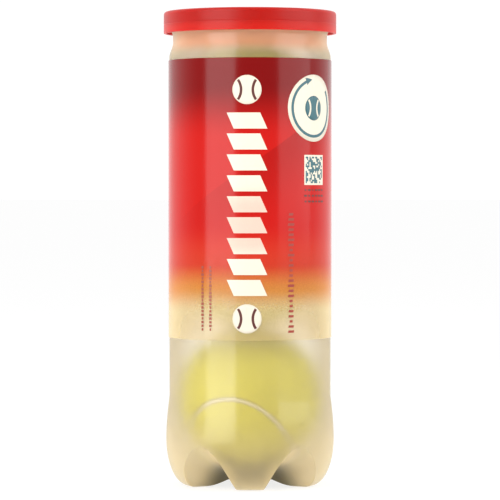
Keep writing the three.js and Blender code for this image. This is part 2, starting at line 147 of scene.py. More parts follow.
class EndSettings(bpy.types.PropertyGroup):
    sheet: length("Sheet", "Thickness of the panel", 0.45 * MM)
    seam_sheet: length("Seam Sheet", "Thickness of the seam's metal", 0.5 * MM)
    aperture: length("Aperture", "Radius left when the panel is out", 34 * MM)
    bead_depth: length("Bead Depth", "Depth of the stiffening bead", 0.6 * MM)
    well_radius: length("Well Radius", "Radius of the sunk middle", 10.5 * MM)
    well_depth: length("Well Depth", "Depth of the sunk middle", 1.2 * MM)
    rivet_radius: length("Rivet Radius", "Radius of the rivet's shank", 1.6 * MM)
    rivet_head: length("Rivet Head", "Radius of the rivet's head", 2.5 * MM)
    hinge_y: length("Hinge", "Distance from the axis to the line where the tab bends", 31 * MM)
    rivet_back: length("Rivet Back", "From the hinge line to the rivet", 6.5 * MM)
    tab_rim: length("Tab Rim", "Width of metal round the finger hole", 2.6 * MM)
    nose_width: length("Nose Width", "Width of the tab's nose", 11 * MM)
    metal: colour("Metal", "Lacquered aluminium", (0.80, 0.80, 0.81))
    compound: colour("Compound", "Lining compound", (0.26, 0.25, 0.23))


class OvercapSettings(bpy.types.PropertyGroup):
    wall: length("Wall", "Thickness of the skirt", 1.15 * MM)
    top: length("Top", "Thickness of the top", 1.2 * MM)
    sink: length("Sink", "How far the top is recessed", 0.6 * MM)
    rounding: length("Rounding", "Radius of the outer corner", 1.6 * MM)
    rim: length("Rim", "Width of the raised rim", 4.9 * MM)
    red: colour("Red", "Pigment over the metal seam", (0.46, 0.008, 0.004))
    skirt: colour("Skirt", "Pigment of the free skirt, lit through", (0.58, 0.014, 0.007))


class BallSettings(bpy.types.PropertyGroup):
    radius: length("Radius", "Radius over the felt", 33 * MM)
    felt: length("Felt", "Thickness of the cloth", 2.8 * MM)
    core_wall: length("Core Wall", "Thickness of the rubber", 3.7 * MM)
    core_gap: length("Core Gap", "Between cloth and rubber", 0.8 * MM)
    cement_width: length("Seam Width", "Width of the pale seam", 1.6 * MM)
    cement_sunk: length("Seam Depth", "How far the seam lies under the felt", 0.5 * MM)
    play: length("Play", "Between neighbours that touch", 0.3 * MM)
    seam_shape: share("Seam Shape", "Share of the seam curve's first harmonic", 0.72)
    nap: length("Nap", "Depth of the cloth's unevenness", 0.22 * MM)
    fibre: length("Fibre", "Length of a loose fibre", 1.5 * MM)
    fibre_radius: length("Fibre Radius", "Radius of a loose fibre", 0.032 * MM)
    fibres: FloatProperty(name="Fibres", description="Loose fibres in 1 m2", default=850000)
    optic_yellow: colour("Optic Yellow", "Dyed nap", (0.52, 0.475, 0.022))
    shaded_deep_yellow: colour("Deep Yellow", "Between the fibres", (0.45, 0.42, 0.016))
    cement: colour("Seam", "Vulcanised seam", (0.60, 0.57, 0.40))
    rubber: colour("Rubber", "Core rubber", (0.035, 0.034, 0.032))


class StageSettings(bpy.types.PropertyGroup):
    distance: length("Distance", "Camera to the can's axis", 1.35)
    height: length("Height", "Camera above the floor", 0.136)
    pitch: angle("Pitch", "How far the camera looks down", 1.18)
    lens: FloatProperty(name="Lens", description="Focal length", default=210.4, unit="CAMERA")
    back: FloatProperty(name="Back", description="Light from behind", default=1.15)
    front: FloatProperty(name="Front", description="Light from the camera's side", default=0.38)
    strips: FloatProperty(name="Strips", description="Light of the tall softboxes", default=3.2)


GROUPS = {
    "shell": ShellSettings,
    "sleeve": SleeveSettings,
    "end": EndSettings,
    "overcap": OvercapSettings,
    "ball": BallSettings,
    "stage": StageSettings,
}


def settings(group):
    return getattr(bpy.context.scene, "ball_can_" + group)


# ---- Node trees ----


def arithmetic(operation):
    """The methods for an operator and for its reflected form, each a Math node."""

    def plain(field, other):
        return field.maths(operation, field, other)

    def reflected(field, other):
        return field.maths(operation, other, field)

    return plain, reflected


class Field:
    """One output of a node, for use in Python expressions."""

    def __init__(self, tree, node, socket):
        self.tree = tree
        self.node = node
        self.socket = socket

    def out(self, name):
        return Field(self.tree, self.node, self.node.outputs[name])

    def maths(self, operation, *values):
        return self.tree.add("ShaderNodeMath", {"operation": operation}, *values)

    __add__, __radd__ = arithmetic("ADD")
    __sub__, __rsub__ = arithmetic("SUBTRACT")
    __mul__, __rmul__ = arithmetic("MULTIPLY")
    __truediv__, __rtruediv__ = arithmetic("DIVIDE")

    def root(self):
        return self.maths("SQRT", self)

    def over(self, low, high):
        """0 at low and 1 at high, eased between them."""
        ease = {"interpolation_type": "SMOOTHSTEP"}
        return self.tree.add("ShaderNodeMapRange", ease, self, low, high, 0.0, 1.0)

    def mix(self, low, high):
        """A colour that is low where this is 0 and high where it is 1."""
        ends = {"A": tinted(low), "B": tinted(high)}
        return self.tree.add("ShaderNodeMix", {"data_type": "RGBA"}, self, colours=ends)


def tinted(value):
    """A colour with the alpha that a colour socket wants; a link is passed on."""
    return value if isinstance(value, Field) else (*value, 1.0)


class Tree:
    """Adds nodes to a node tree, which belongs to its owner."""

    def __init__(self, tree, owner=None):
        self.tree = tree
        self.owner = owner

    def add(self, kind, settings=None, *values, colours=None, **named):
        """Adds a node: its settings first, then the values or links of its sockets."""
        node = self.tree.nodes.new(kind)
        for key, value in (settings or {}).items():
            setattr(node, key, value)
        for socket, value in zip(node.inputs, values):
            self.feed(socket, value)
        for key, value in named.items():
            self.feed(node.inputs[key.replace("_", " ")], value)
        for key, value in (colours or {}).items():
            inputs = [s for s in node.inputs if s.name == key and s.type == "RGBA"]
            self.feed(inputs[0], value)
        shown = [s for s in node.outputs if s.enabled]
        return Field(self, node, shown[0] if shown else None)

    def feed(self, socket, value):
        if isinstance(value, Field):
            self.tree.links.new(value.socket, socket)
        elif value is not None:
            socket.default_value = value

    def vector(self, x, y, z):
        return self.add("ShaderNodeCombineXYZ", None, x, y, z)

    def chance(self, kind, *limits, **named):
        """A random value for each element."""
        return self.add("FunctionNodeRandomValue", {"data_type": kind}, *limits, **named)


def material(name):
    """A new material's tree, and the point on the piece, whole and as x, y and z."""
    made = bpy.data.materials.new(name)
    made.use_nodes = True
    made.node_tree.nodes.clear()
    tree = Tree(made.node_tree, made)
    place = tree.add("ShaderNodeTexCoord").out("Object")
    split = tree.add("ShaderNodeSeparateXYZ", None, place)
    return tree, place, (split, split.out("Y"), split.out("Z"))


def finished(tree, shader):
    """The tree's material, once its shader is joined to the output."""
    tree.add("ShaderNodeOutputMaterial", None, shader)
    return tree.owner


def blended(tree, share_of_second, first, second):
    """Two shaders in one."""
    return tree.add("ShaderNodeMixShader", None, share_of_second, first, second)


def principled(tree, **named):
    for key in ("Base_Color", "Sheen_Tint"):
        if key in named:
            named[key] = tinted(named[key])
    return tree.add("ShaderNodeBsdfPrincipled", None, **named)


def noise(tree, place, scale, detail=3.0, stretch=(1.0, 1.0, 1.0)):
    """Soft noise from 0 to 1, stretched along the axes."""
    put = tree.add("ShaderNodeMapping", None, place, Scale=stretch)
    return tree.add("ShaderNodeTexNoise", None, Vector=put, Scale=scale, Detail=detail)


def bump(tree, height, strength, depth):
    return tree.add("ShaderNodeBump", None, Height=height, Strength=strength, Distance=depth)


# ---- Materials ----


# Heights and reaches from the axis between which a tint comes in: painted red light in the neck,
# cloudy plastic in the feet, and painted shade low down near the axis.
NECK_RED_LIGHT = (0.197, 0.203)
FOOT_MILK = (0.036, 0.008)
GROOVE_SHADE = (0.026, 0.008)
UNDER_SHADE = (0.032, 0.015)


def pet_material():
    """Blown clear plastic: a warm veil that thickens where the wall is seen edge on."""
    look = settings("shell")
    tree, place, (x, y, z) = material("blown_pet")
    edge = tree.add("ShaderNodeLayerWeight", None, 0.32).out("Facing")
    flow = noise(tree, place, 55.0, 2.0, (1.0, 1.0, 0.25))
    neck = z.over(*NECK_RED_LIGHT)
    foot = z.over(*FOOT_MILK)
    reach = (x * x + y * y).root()
    # Painted shade: low on the base and near the axis, in the grooves between the feet and under
    # the base, the plastic is darkened to the shade colour and clouded.
    dark = z.over(*GROOVE_SHADE) * reach.over(*UNDER_SHADE)
    steep = edge.over(0.15, 0.62)
    milk = foot * (0.12 + 0.26 * edge.over(0.0, 0.25))
    veil = look.haze + 0.5 * steep + 0.03 * flow + 0.36 * neck + milk + 0.30 * dark
    # Painted red light: the neck just under the overcap is tinted red for the cap's light caught in
    # it, less where the wall is seen edge on.
    blush = (neck * (1.0 - 0.65 * steep)).mix(look.colour, look.blush)
    tone = dark.mix(foot.mix(blush, look.milk), look.shade)
    normal = bump(tree, flow, 0.10, 0.0006)
    matt = principled(tree, Base_Color=tone, Roughness=0.5, IOR=1.2)
    body = blended(tree, 0.4, matt, tree.add("ShaderNodeBsdfTranslucent", None, tone))
    warm = (1.0, 0.985, 0.95, 1.0)
    cloudy = tree.add("ShaderNodeBsdfRefraction", None, warm, 0.48, 1.3)
    clear = tree.add("ShaderNodeBsdfTransparent", None, warm)
    lamp = tree.add("ShaderNodeLightPath").out("Is Shadow Ray")
    through = blended(tree, lamp + (1.0 - lamp) * 0.5 * foot, cloudy, clear)
    gloss = tree.add("ShaderNodeBsdfAnisotropic", None, tinted(WHITE), 0.14, Normal=normal)
    shine = 0.026 + 0.30 * edge * edge * edge
    return finished(tree, blended(tree, shine, blended(tree, veil, through, body), gloss))


# Heights between which one ink gives way to the next.
RED_BAND = (0.184, 0.158)
CORAL_BAND = (0.122, 0.098)
AMBER_BAND = (0.103, 0.090)
STRAW_BAND = (0.092, 0.080)
SLASH_HEIGHT = 0.1473  # of the darker band's slanted top edge, at the front
SLASH_RISE = 0.0254  # of the same edge, for each radian round the can


def film_material():
    """Printed film: crimson at the top, then red, fading through coral to clear."""
    look = settings("sleeve")
    tree, place, (x, y, z) = material("printed_film")
    round_can = tree.add("ShaderNodeMath", {"operation": "ARCTAN2"}, x, -1.0 * y)
    stipple = noise(tree, place, 1500.0, 2.0)
    soft = noise(tree, place, 35.0, 2.0)
    height = z + 0.003 * (soft - 0.5)
    red = height.over(*RED_BAND).mix(look.crimson, look.red)
    coral = height.over(*CORAL_BAND).mix(red, look.coral)
    amber = height.over(*AMBER_BAND).mix(coral, look.amber)
    ink = height.over(*STRAW_BAND).mix(amber, look.straw)
    below = SLASH_HEIGHT + SLASH_RISE * round_can - z
    step = below.over(-0.0004, 0.0004) * (1.0 - below.over(0.0, 0.034))
    shade = step * round_can.over(-1.4, 0.9)
    toned = (0.42 * shade).mix(ink, look.crimson)
    printed = height + 0.008 * (stipple - 0.5)
    solid = printed.over(look.fade_low, look.fade_high)
    body = principled(
        tree,
        Base_Color=toned,
        Roughness=0.15 + 0.06 * soft,
        IOR=1.34,
        Normal=bump(tree, stipple, 0.06, 0.0001),
        Coat_Weight=0.05,
        Coat_Roughness=0.10,
    )
    edge = tree.add("ShaderNodeLayerWeight", None, 0.30).out("Facing")
    cover = 1.0 - (1.0 - solid) * (1.0 - (0.16 + 0.45 * edge.over(0.1, 0.6)))
    clear = tree.add("ShaderNodeBsdfTransparent", None, (1.0, 0.985, 0.965, 1.0))
    return finished(tree, blended(tree, cover, clear, body))


def ink_material(name, ink, blush=None):
    """Ink printed on the film; blush is a second colour that it takes in a band."""
    tree, place, (_, _, z) = material(name)
    mottle = noise(tree, place, 700.0, 2.0)
    body = (0.10 * mottle).mix(ink, (0.35, 0.25, 0.20))
    if blush:
        band = z.over(0.140, 0.128) * (1.0 - z.over(0.112, 0.104))
        body = (0.55 * band).mix(body, blush)
    normal = bump(tree, mottle, 0.05, 0.0001)
    shader = principled(tree, Base_Color=body, Roughness=0.30 + 0.08 * mottle, Normal=normal)
    return finished(tree, shader)


def metal_material(name, along):
    """Lacquered rolled aluminium, its grain stretched along one axis."""
    look = settings("end")
    tree, place, _ = material(name)
    stretch = (0.03, 1.0, 1.0) if along == "X" else (1.0, 0.03, 1.0)
    grain = noise(tree, place, 4200.0, 3.0, stretch)
    smear = noise(tree, place, 110.0, 3.0)
    tone = (0.30 * grain + 0.25 * smear).mix(look.metal, (0.58, 0.58, 0.60))
    shader = principled(
        tree,
        Base_Color=tone,
        Metallic=1.0,
        Roughness=0.20 + 0.12 * grain + 0.10 * smear,
        Normal=bump(tree, grain, 0.12, 0.00008),
        Coat_Weight=0.3,
        Coat_Roughness=0.12,
    )
    return finished(tree, shader)


def compound_material():
    """Grey rubbery compound, poured into the seam."""
    look = settings("end")
    tree, place, _ = material("lining_compound")
    lumps = noise(tree, place, 1500.0, 4.0)
    tone = lumps.mix(look.compound, (0.34, 0.33, 0.30))
    normal = bump(tree, lumps, 0.3, 0.0002)
    return finished(tree, principled(tree, Base_Color=tone, Roughness=0.8, Normal=normal))


def overcap_material():
    """Moulded red plastic that lets some light through where nothing is behind it."""
    look = settings("overcap")
    tree, place, (_, _, z) = material("overcap_plastic")
    flow = noise(tree, place, 160.0, 3.0, (1.0, 1.0, 0.4))
    grain = noise(tree, place, 2600.0, 2.0)
    # Painted light: below the metal seam the skirt takes a brighter red for light that comes
    # through it, while over the seam it keeps the darker red.
    free = z.over(CAP_LOW.z + 0.0052, CAP_LOW.z + 0.0015)
    tone = free.mix(look.red, look.skirt)
    tone = (0.22 * flow).mix(tone, (0.36, 0.012, 0.010))
    shader = principled(
        tree,
        Base_Color=tone,
        Roughness=0.30 + 0.10 * flow,
        IOR=1.33,
        Normal=bump(tree, grain, 0.08, 0.0001),
        Subsurface_Weight=0.9,
        Subsurface_Radius=(1.0, 0.22, 0.12),
        Subsurface_Scale=0.005,
    )
    return finished(tree, shader)


def felt_material():
    """Dyed nap: light tufts over deeper ground, partly random tone and partly painted shade in the
    hollows of the bump, with broad worn patches.
    """
    look = settings("ball")
    tree, place, _ = material("napped_felt")
    tufts = noise(tree, place, 950.0, 4.0)
    clumps = noise(tree, place, 260.0, 3.0)
    patches = noise(tree, place, 60.0, 2.0)
    # Random tone of the tufts, also darker where the bump sinks: painted shade between the fibres.
    lit = tufts.over(0.35, 0.65) * 0.6 + 0.4 * clumps
    tone = lit.mix(look.shaded_deep_yellow, look.optic_yellow)
    tone = (0.25 * patches).mix(tone, (0.58, 0.60, 0.10))
    shader = principled(
        tree,
        Base_Color=tone,
        Roughness=0.95,
        Normal=bump(tree, tufts + 0.5 * clumps, 0.55, 0.0009),
        Sheen_Weight=0.35,
        Sheen_Roughness=0.6,
        Sheen_Tint=(0.85, 0.88, 0.40),
    )
    return finished(tree, shader)


def matt_material(name, base, second, scale, depth):
    """A matt rubber with fine lumps."""
    tree, place, _ = material(name)
    lumps = noise(tree, place, scale, 4.0)
    tone = lumps.mix(base, second)
    normal = bump(tree, lumps, 0.4, depth)
    rough = 0.7 + 0.2 * lumps
    return finished(tree, principled(tree, Base_Color=tone, Roughness=rough, Normal=normal))


# ---- Mesh helpers ----


def rounded(outline, steps=5):
    """An outline whose corners, given as x, y and radius, are drawn as arcs."""
    made = []
    count = len(outline)
    for i, (x, y, radius) in enumerate(outline):
        corner = np.array((x, y))
        if radius == 0:
            made.append(corner)
            continue
        back = np.array(outline[i - 1][:2]) - corner
        ahead = np.array(outline[(i + 1) % count][:2]) - corner
        back_length, ahead_length = np.linalg.norm(back), np.linalg.norm(ahead)
        back, ahead = back / back_length, ahead / ahead_length
        half = math.acos(np.clip(back @ ahead, -1, 1)) / 2
        cut = min(radius / math.tan(half), 0.49 * back_length, 0.49 * ahead_length)
        for t in np.linspace(0, 1, steps + 1):
            bend = (1 - t) ** 2 * back * cut + t**2 * ahead * cut
            made.append(corner + bend)
    return np.array(made)


def placed(name, data):
    """A new object in the scene."""
    made = bpy.data.objects.new(name, data)
    bpy.context.scene.collection.objects.link(made)
    return made


def mesh_of(name, points, edges=(), faces=()):
    """A new mesh from plain lists."""
    mesh = bpy.data.meshes.new(name)
    mesh.from_pydata([tuple(p) for p in points], edges, faces)
    return mesh


def plain_mesh(source):
    """The mesh of an object with its modifiers applied."""
    bpy.context.view_layer.update()
    ready = source.evaluated_get(bpy.context.evaluated_depsgraph_get())
    return bpy.data.meshes.new_from_object(ready)


def mended(mesh, doubles=None, slivers=None):
    """Merges doubled points, takes out slivers and turns the faces outwards."""
    work = bmesh.new()
    work.from_mesh(mesh)
    if doubles:
        bmesh.ops.remove_doubles(work, verts=work.verts, dist=doubles)
    if slivers:
        bmesh.ops.dissolve_degenerate(work, edges=work.edges, dist=slivers)
    bmesh.ops.recalc_face_normals(work, faces=work.faces)
    work.to_mesh(mesh)
    work.free()


def smoothed(mesh, crease):
    """Shades a mesh smooth, with edges sharper than crease degrees kept sharp."""
    mesh.shade_smooth()
    if crease:
        mesh.set_sharp_from_angle(angle=math.radians(crease))


def new_object(name, points, faces, looks, crease=35):
    """A closed, smooth mesh object."""
    mesh = mesh_of(name, points, [], faces)
    mended(mesh, doubles=1e-7, slivers=1e-8)
    smoothed(mesh, crease)
    if looks:
        mesh.materials.append(looks)
    return placed(name, mesh)


def ring_faces(rows, columns, closed_rows=False, closed_columns=True):
    """Quads of a grid of points, row by row."""
    faces = []
    for i in range(rows if closed_rows else rows - 1):
        for j in range(columns if closed_columns else columns - 1):
            low, high = i * columns, ((i + 1) % rows) * columns
            ahead = (j + 1) % columns
            faces.append((low + j, low + ahead, high + ahead, high + j))
    return faces


def turned(name, outline, looks, sides=144, centre=(0.0, 0.0)):
    """A solid turned about Z from a closed outline of radius and height."""
    around = np.arange(sides) * TURN / sides
    x, y = centre
    points = [
        (x + r * math.sin(a), y - r * math.cos(a), z) for r, z in outline for a in around
    ]
    faces = ring_faces(len(outline), sides, closed_rows=outline[0][0] > 0)
    return new_object(name, points, faces, looks)


def join(name, *parts):
    """Joins objects into one mesh, under a new name."""
    work = bmesh.new()
    for part in parts:
        work.from_mesh(part.data)
    mesh = bpy.data.meshes.new(name)
    for looks in parts[0].data.materials:
        mesh.materials.append(looks)
    work.to_mesh(mesh)
    work.free()
    for part in parts:
        bpy.data.objects.remove(part)
    return placed(name, mesh)


def stands_for(piece, body, slot, *nodes):
    """Says which body a piece rides on, and hides the CAD nodes that it replaces. The slot is not
    used.
    """
    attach(piece, body)
    if nodes:
        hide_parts(*nodes)


# ---- Geometry trees ----


def geometry_tree(name, **inputs):
    """A new geometry tree with named inputs, and what gives the output of each."""
    made = bpy.data.node_groups.new(name, "GeometryNodeTree")
    for way in ("INPUT", "OUTPUT"):
        made.interface.new_socket(name="Geometry", in_out=way, socket_type="NodeSocketGeometry")
    for key, default in inputs.items():
        kind = "NodeSocketInt" if isinstance(default, int) else "NodeSocketFloat"
        label = key.replace("_", " ")
        socket = made.interface.new_socket(name=label, in_out="INPUT", socket_type=kind)
        socket.default_value = default
    tree = Tree(made)
    return tree, tree.add("NodeGroupInput").out


def end_tree(tree, geometry, looks, smooth=True):
    """Ends a tree in real, shaded geometry of one material."""
    real = tree.add("GeometryNodeRealizeInstances", None, geometry)
    shaded = tree.add("GeometryNodeSetShadeSmooth", None, real, Shade_Smooth=smooth)
    finished = tree.add("GeometryNodeSetMaterial", None, shaded, Material=looks)
    output = tree.tree.nodes.new("NodeGroupOutput")
    tree.feed(output.inputs[0], finished)


def grown(name, source, tree, **values):
    """A plain mesh object made by running a geometry tree on a source object."""
    modifier = source.modifiers.new("grow", "NODES")
    modifier.node_group = tree.tree
    names = {s.name: s.identifier for s in tree.tree.interface.items_tree if s.in_out == "INPUT"}
    for key, value in values.items():
        modifier[names[key.replace("_", " ")]] = value
    mesh = plain_mesh(source)
    source.modifiers.remove(modifier)
    bpy.data.objects.remove(source)
    mesh.name = name
    return placed(name, mesh)


def repeat_tree(looks):
    """Repeats one sector about Z and welds the copies into a ring."""
    tree, put = geometry_tree("repeat_about_axis", Count=5, Weld=1e-6)
    line = tree.add("GeometryNodePoints", None, put("Count"))
    turn = tree.add("GeometryNodeInputIndex") * (TURN / put("Count"))
    spin = {"Instance": put("Geometry"), "Rotation": tree.vector(0.0, 0.0, turn)}
    copies = tree.add("GeometryNodeInstanceOnPoints", None, line, **spin)
    real = tree.add("GeometryNodeRealizeInstances", None, copies)
    welded = tree.add("GeometryNodeMergeByDistance", None, real, Distance=put("Weld"))
    end_tree(tree, welded, looks)
    return tree


def print_tree(looks):
    """A grid of slanted plates, laid flat and then wrapped round the sleeve."""
    tree, put = geometry_tree(
        "wrapped_print",
        Columns=1,
        Rows=10,
        Pitch_X=0.001,
        Pitch_Z=0.001,
        Width=0.001,
        Height=0.001,
        Thickness=0.00004,
        Slant=0.0,
        Ragged=0.0,
        Keep=1.0,
        Radius=0.0377,
        Round=0.0,
        Centre_Z=0.1,
        Segments=6,
        Seed=3,
    )
    wide = put("Pitch X") * (put("Columns") - 1.0)
    tall = put("Pitch Z") * (put("Rows") - 1.0)
    grid = tree.add("GeometryNodeMeshGrid", None, wide, tall, put("Columns"), put("Rows"))
    size = tree.vector(put("Width"), put("Height"), put("Thickness"))
    plate = tree.add("GeometryNodeMeshCube", None, size, put("Segments"), 2, 2)
    across = tree.add("ShaderNodeSeparateXYZ", None, tree.add("GeometryNodeInputPosition"))
    lean = tree.vector(across.out("Y") * put("Slant"), 0.0, 0.0)
    narrow = 1.0 - put("Ragged") * tree.chance("FLOAT", Seed=put("Seed"))
    copies = tree.add(
        "GeometryNodeInstanceOnPoints",
        None,
        grid,
        Selection=tree.chance("BOOLEAN", Probability=put("Keep"), Seed=put("Seed")),
        Instance=tree.add("GeometryNodeSetPosition", None, plate, Offset=lean),
        Scale=tree.vector(narrow, 1.0, 1.0),
    )
    real = tree.add("GeometryNodeRealizeInstances", None, copies)
    flat = tree.add("ShaderNodeSeparateXYZ", None, tree.add("GeometryNodeInputPosition"))
    turn = flat / put("Radius") + put("Round")
    reach = put("Radius") + flat.out("Z")
    forward = -1.0 * (reach * flat.maths("COSINE", turn))
    height = flat.out("Y") + put("Centre Z")
    wrapped = tree.vector(reach * flat.maths("SINE", turn), forward, height)
    moved = tree.add("GeometryNodeSetPosition", None, real, Position=wrapped)
    end_tree(tree, moved, looks, False)
    return tree


def rod_tree(looks):
    """Round rod along the edges of a mesh."""
    tree, put = geometry_tree("rod_on_path", Radius=0.0007, Sides=12)
    path = tree.add("GeometryNodeMeshToCurve", None, put("Geometry"))
    size = {"Radius": put("Radius")}
    section = tree.add("GeometryNodeCurvePrimitiveCircle", None, put("Sides"), **size)
    end_tree(tree, tree.add("GeometryNodeCurveToMesh", None, path, section), looks)
    return tree


def felt_tree(looks):
    """Roughens the nap of a felt panel and sows loose fibres on its outer side."""
    tree, put = geometry_tree(
        "napped_felt", Nap=0.0002, Density=600000.0, Length=0.001, Thickness=0.00003, Seed=5
    )
    outer = tree.add("GeometryNodeInputNamedAttribute", {"data_type": "FLOAT"}, "outer")
    place = tree.add("GeometryNodeInputPosition")
    lumps = tree.add("ShaderNodeTexNoise", None, Vector=place, Scale=420.0, Detail=3.0)
    swell = (lumps - 0.62) * put("Nap") * outer * 2.0
    normal = tree.add("GeometryNodeInputNormal")
    push = tree.add("ShaderNodeVectorMath", {"operation": "SCALE"}, normal, Scale=swell)
    cloth = tree.add("GeometryNodeSetPosition", None, put("Geometry"), Offset=push)
    points = tree.add(
        "GeometryNodeDistributePointsOnFaces",
        None,
        cloth,
        Density=put("Density"),
        Selection=outer.maths("GREATER_THAN", outer, 0.5),
        Seed=put("Seed"),
    )
    root, tip = put("Thickness"), put("Thickness") * 0.3
    fibre = tree.add("GeometryNodeMeshCone", None, 3, 2, 1, tip, root, put("Length"))
    along = tree.add("ShaderNodeSeparateXYZ", None, tree.add("GeometryNodeInputPosition"))
    up = along.out("Z")
    bend = tree.vector(up * up / put("Length") * 0.55, 0.0, 0.0)
    lay = tree.chance(
        "FLOAT_VECTOR", (-0.95, -0.95, 0.0), (0.95, 0.95, TURN), Seed=put("Seed")
    )
    turned_fibre = tree.add(
        "FunctionNodeRotateRotation",
        {"rotation_space": "LOCAL"},
        points.out("Rotation"),
        tree.add("FunctionNodeEulerToRotation", None, lay),
    )
    longer = 0.45 + 0.75 * tree.chance("FLOAT", Seed=put("Seed"))
    copies = tree.add(
        "GeometryNodeInstanceOnPoints",
        None,
        points,
        Instance=tree.add("GeometryNodeSetPosition", None, fibre, Offset=bend),
        Rotation=turned_fibre,
        Scale=tree.vector(1.0, 1.0, longer),
    )
    both = tree.add("GeometryNodeJoinGeometry", None, copies)
    tree.feed(both.node.inputs[0], cloth)
    end_tree(tree, both, looks)
    return tree


# ---- Can shell ----


def foot_outline(look):
    """The middle of a foot in section, from the underside's centre up to the wall."""
    base_radius = look.body_radius + look.bulge
    pad_out = base_radius - look.foot_corner
    pad_in = pad_out - look.pad
    outline = []
    for r in np.linspace(0, pad_in, 13)[1:-1]:
        outline.append((r, look.dome * (1 + math.cos(math.pi * r / pad_in)) / 2))
    for r in np.linspace(pad_in, pad_out, 4)[:-1]:
        outline.append((r, 0.0))
    for t in np.linspace(math.pi / 2, 0, 26):
        out = pad_out + look.foot_corner * math.cos(t)
        outline.append((out, look.bulge_height * (1 - math.sin(t))))
    for part in np.linspace(1, 0, 10)[1:]:
        out = look.body_radius + look.bulge * math.sin(part * math.pi / 2)
        outline.append((out, look.hub + (look.bulge_height - look.hub) * part))
    return outline


def upper_outline(look, inset):
    """The wall above the base, from the shoulder to just under the flange."""
    neck_top = CAN_HIGH.z - NECK_DROP
    shoulder_top = neck_top - NECK_BAND
    shoulder = shoulder_top - SHOULDER
    levels = np.linspace(look.hub + 0.02, shoulder - 0.004, 5)
    outline = [(look.body_radius - inset, z) for z in levels]
    for t in np.linspace(0, 1, 17):
        fall = (1 - math.cos(math.pi * t)) / 2
        radius = look.body_radius + (look.neck_radius - look.body_radius) * fall
        outline.append((radius - inset, shoulder + (shoulder_top - shoulder) * t))
    for t in np.linspace(0, 1, 9):
        ease = t * t * (3 - 2 * t)
        radius = look.neck_radius + (look.mouth_radius - look.neck_radius) * ease
        outline.append((radius - inset, neck_top + FLARE * t))
    return outline


class BaseShape:
    """Points of the five-footed base, for a sector between two groove middles."""

    GROOVE_COLUMNS = 13
    FOOT_COLUMNS = 8

    def __init__(self, look):
        self.look = look
        base_radius = look.body_radius + look.bulge
        pad_out = base_radius - look.foot_corner
        level = (look.bulge_height - look.groove_top) / look.bulge_height
        mouth = pad_out + look.foot_corner * math.sqrt(1 - level**2)
        rise = look.groove_top - look.dome
        self.roof_radius = (mouth**2 + rise**2) / (2 * rise)
        self.roof_offset = look.dome + self.roof_radius - look.hub
        self.sector = TURN / look.feet

    def roof_reach(self, angle):
        """From the hub to the roof of a groove, along a line at this angle."""
        along = self.roof_offset * math.cos(angle)
        return -along + math.sqrt(along**2 + self.roof_radius**2 - self.roof_offset**2)

    def turns(self, z):
        """Angles from the groove's middle to the middle of the foot, on a level."""
        look = self.look
        groove = look.groove_angle * math.sqrt(max(0.0, 1 - z / look.groove_top))
        columns = self.GROOVE_COLUMNS + self.FOOT_COLUMNS
        even = self.sector / 2 * self.GROOVE_COLUMNS / columns
        calm = min(max((z - look.groove_top) / (look.hub - look.groove_top), 0.0), 1.0)
        edge = max(groove, even * (1 / 3 + 2 / 3 * calm))
        inner = np.linspace(0, edge, self.GROOVE_COLUMNS + 1)[:-1]
        outer = np.linspace(edge, self.sector / 2, self.FOOT_COLUMNS + 1)
        return np.concatenate([inner, outer]), groove

    def row(self, r, z, inset):
        """A row of points on the base, from a point of the foot's outline."""
        look = self.look
        angle = math.atan2(r, look.hub - z)
        foot_reach = math.hypot(r, look.hub - z)
        depth = foot_reach - self.roof_reach(angle) if z < look.groove_top else 0.0
        half, groove = self.turns(z)
        turns = np.concatenate([half, self.sector - half[-2::-1]])
        nearest = np.minimum(turns, self.sector - turns)
        cut = np.maximum(0.0, 1 - (nearest / groove) ** 2) if groove > 0 else 0 * turns
        reach = foot_reach - depth * cut - inset
        out, up = reach * math.sin(angle), look.hub - reach * math.cos(angle)
        around = turns - self.sector / 2
        return np.stack([out * np.sin(around), -out * np.cos(around), up], axis=1)

    def round_row(self, r, z):
        """A row of points on a plain circle, with the same columns."""
        half, _ = self.turns(self.look.hub)
        turns = np.concatenate([half, self.sector - half[-2::-1]]) - self.sector / 2
        return np.stack([r * np.sin(turns), -r * np.cos(turns), 0 * turns + z], axis=1)


def build_shell(looks):
    """The clear can: one sector of the foot and wall, repeated round the axis."""
    look = settings("shell")
    shape = BaseShape(look)
    foot = foot_outline(look)

    def wall_at(z):
        return look.base_wall + (look.wall - look.base_wall) * min(z / look.hub, 1.0)

    top = CAN_HIGH.z
    lip = rounded(
        [
            (look.mouth_radius, top - FLANGE_THICK, 0.25 * MM),
            (look.flange_radius, top - FLANGE_THICK, 0.3 * MM),
            (look.flange_radius, top, 0.3 * MM),
            (look.mouth_radius - look.wall, top, 0.4 * MM),
        ],
        4,
    )
    outside = [shape.row(0.0, look.dome, 0.0)]
    outside += [shape.row(r, z, 0.0) for r, z in foot]
    outside += [shape.round_row(r, z) for r, z in upper_outline(look, 0.0)]
    inside = [shape.row(0.0, look.dome, look.base_wall)]
    inside += [shape.row(r, z, wall_at(z)) for r, z in foot]
    inside += [shape.round_row(r, z) for r, z in upper_outline(look, look.wall)]
    rows = outside + [shape.round_row(r, z) for r, z in lip] + inside[::-1]
    faces = ring_faces(len(rows), len(rows[0]), closed_columns=False)
    sector = new_object("shell_sector", np.concatenate(rows), faces, None, None)
    shell = grown("can_shell", sector, repeat_tree(looks), Count=look.feet, Weld=2e-6)
    mended(shell.data, slivers=1e-8)
    smoothed(shell.data, 30)
    stands_for(shell, "can", "pet", "can_body")


# ---- Sleeve and its printing ----


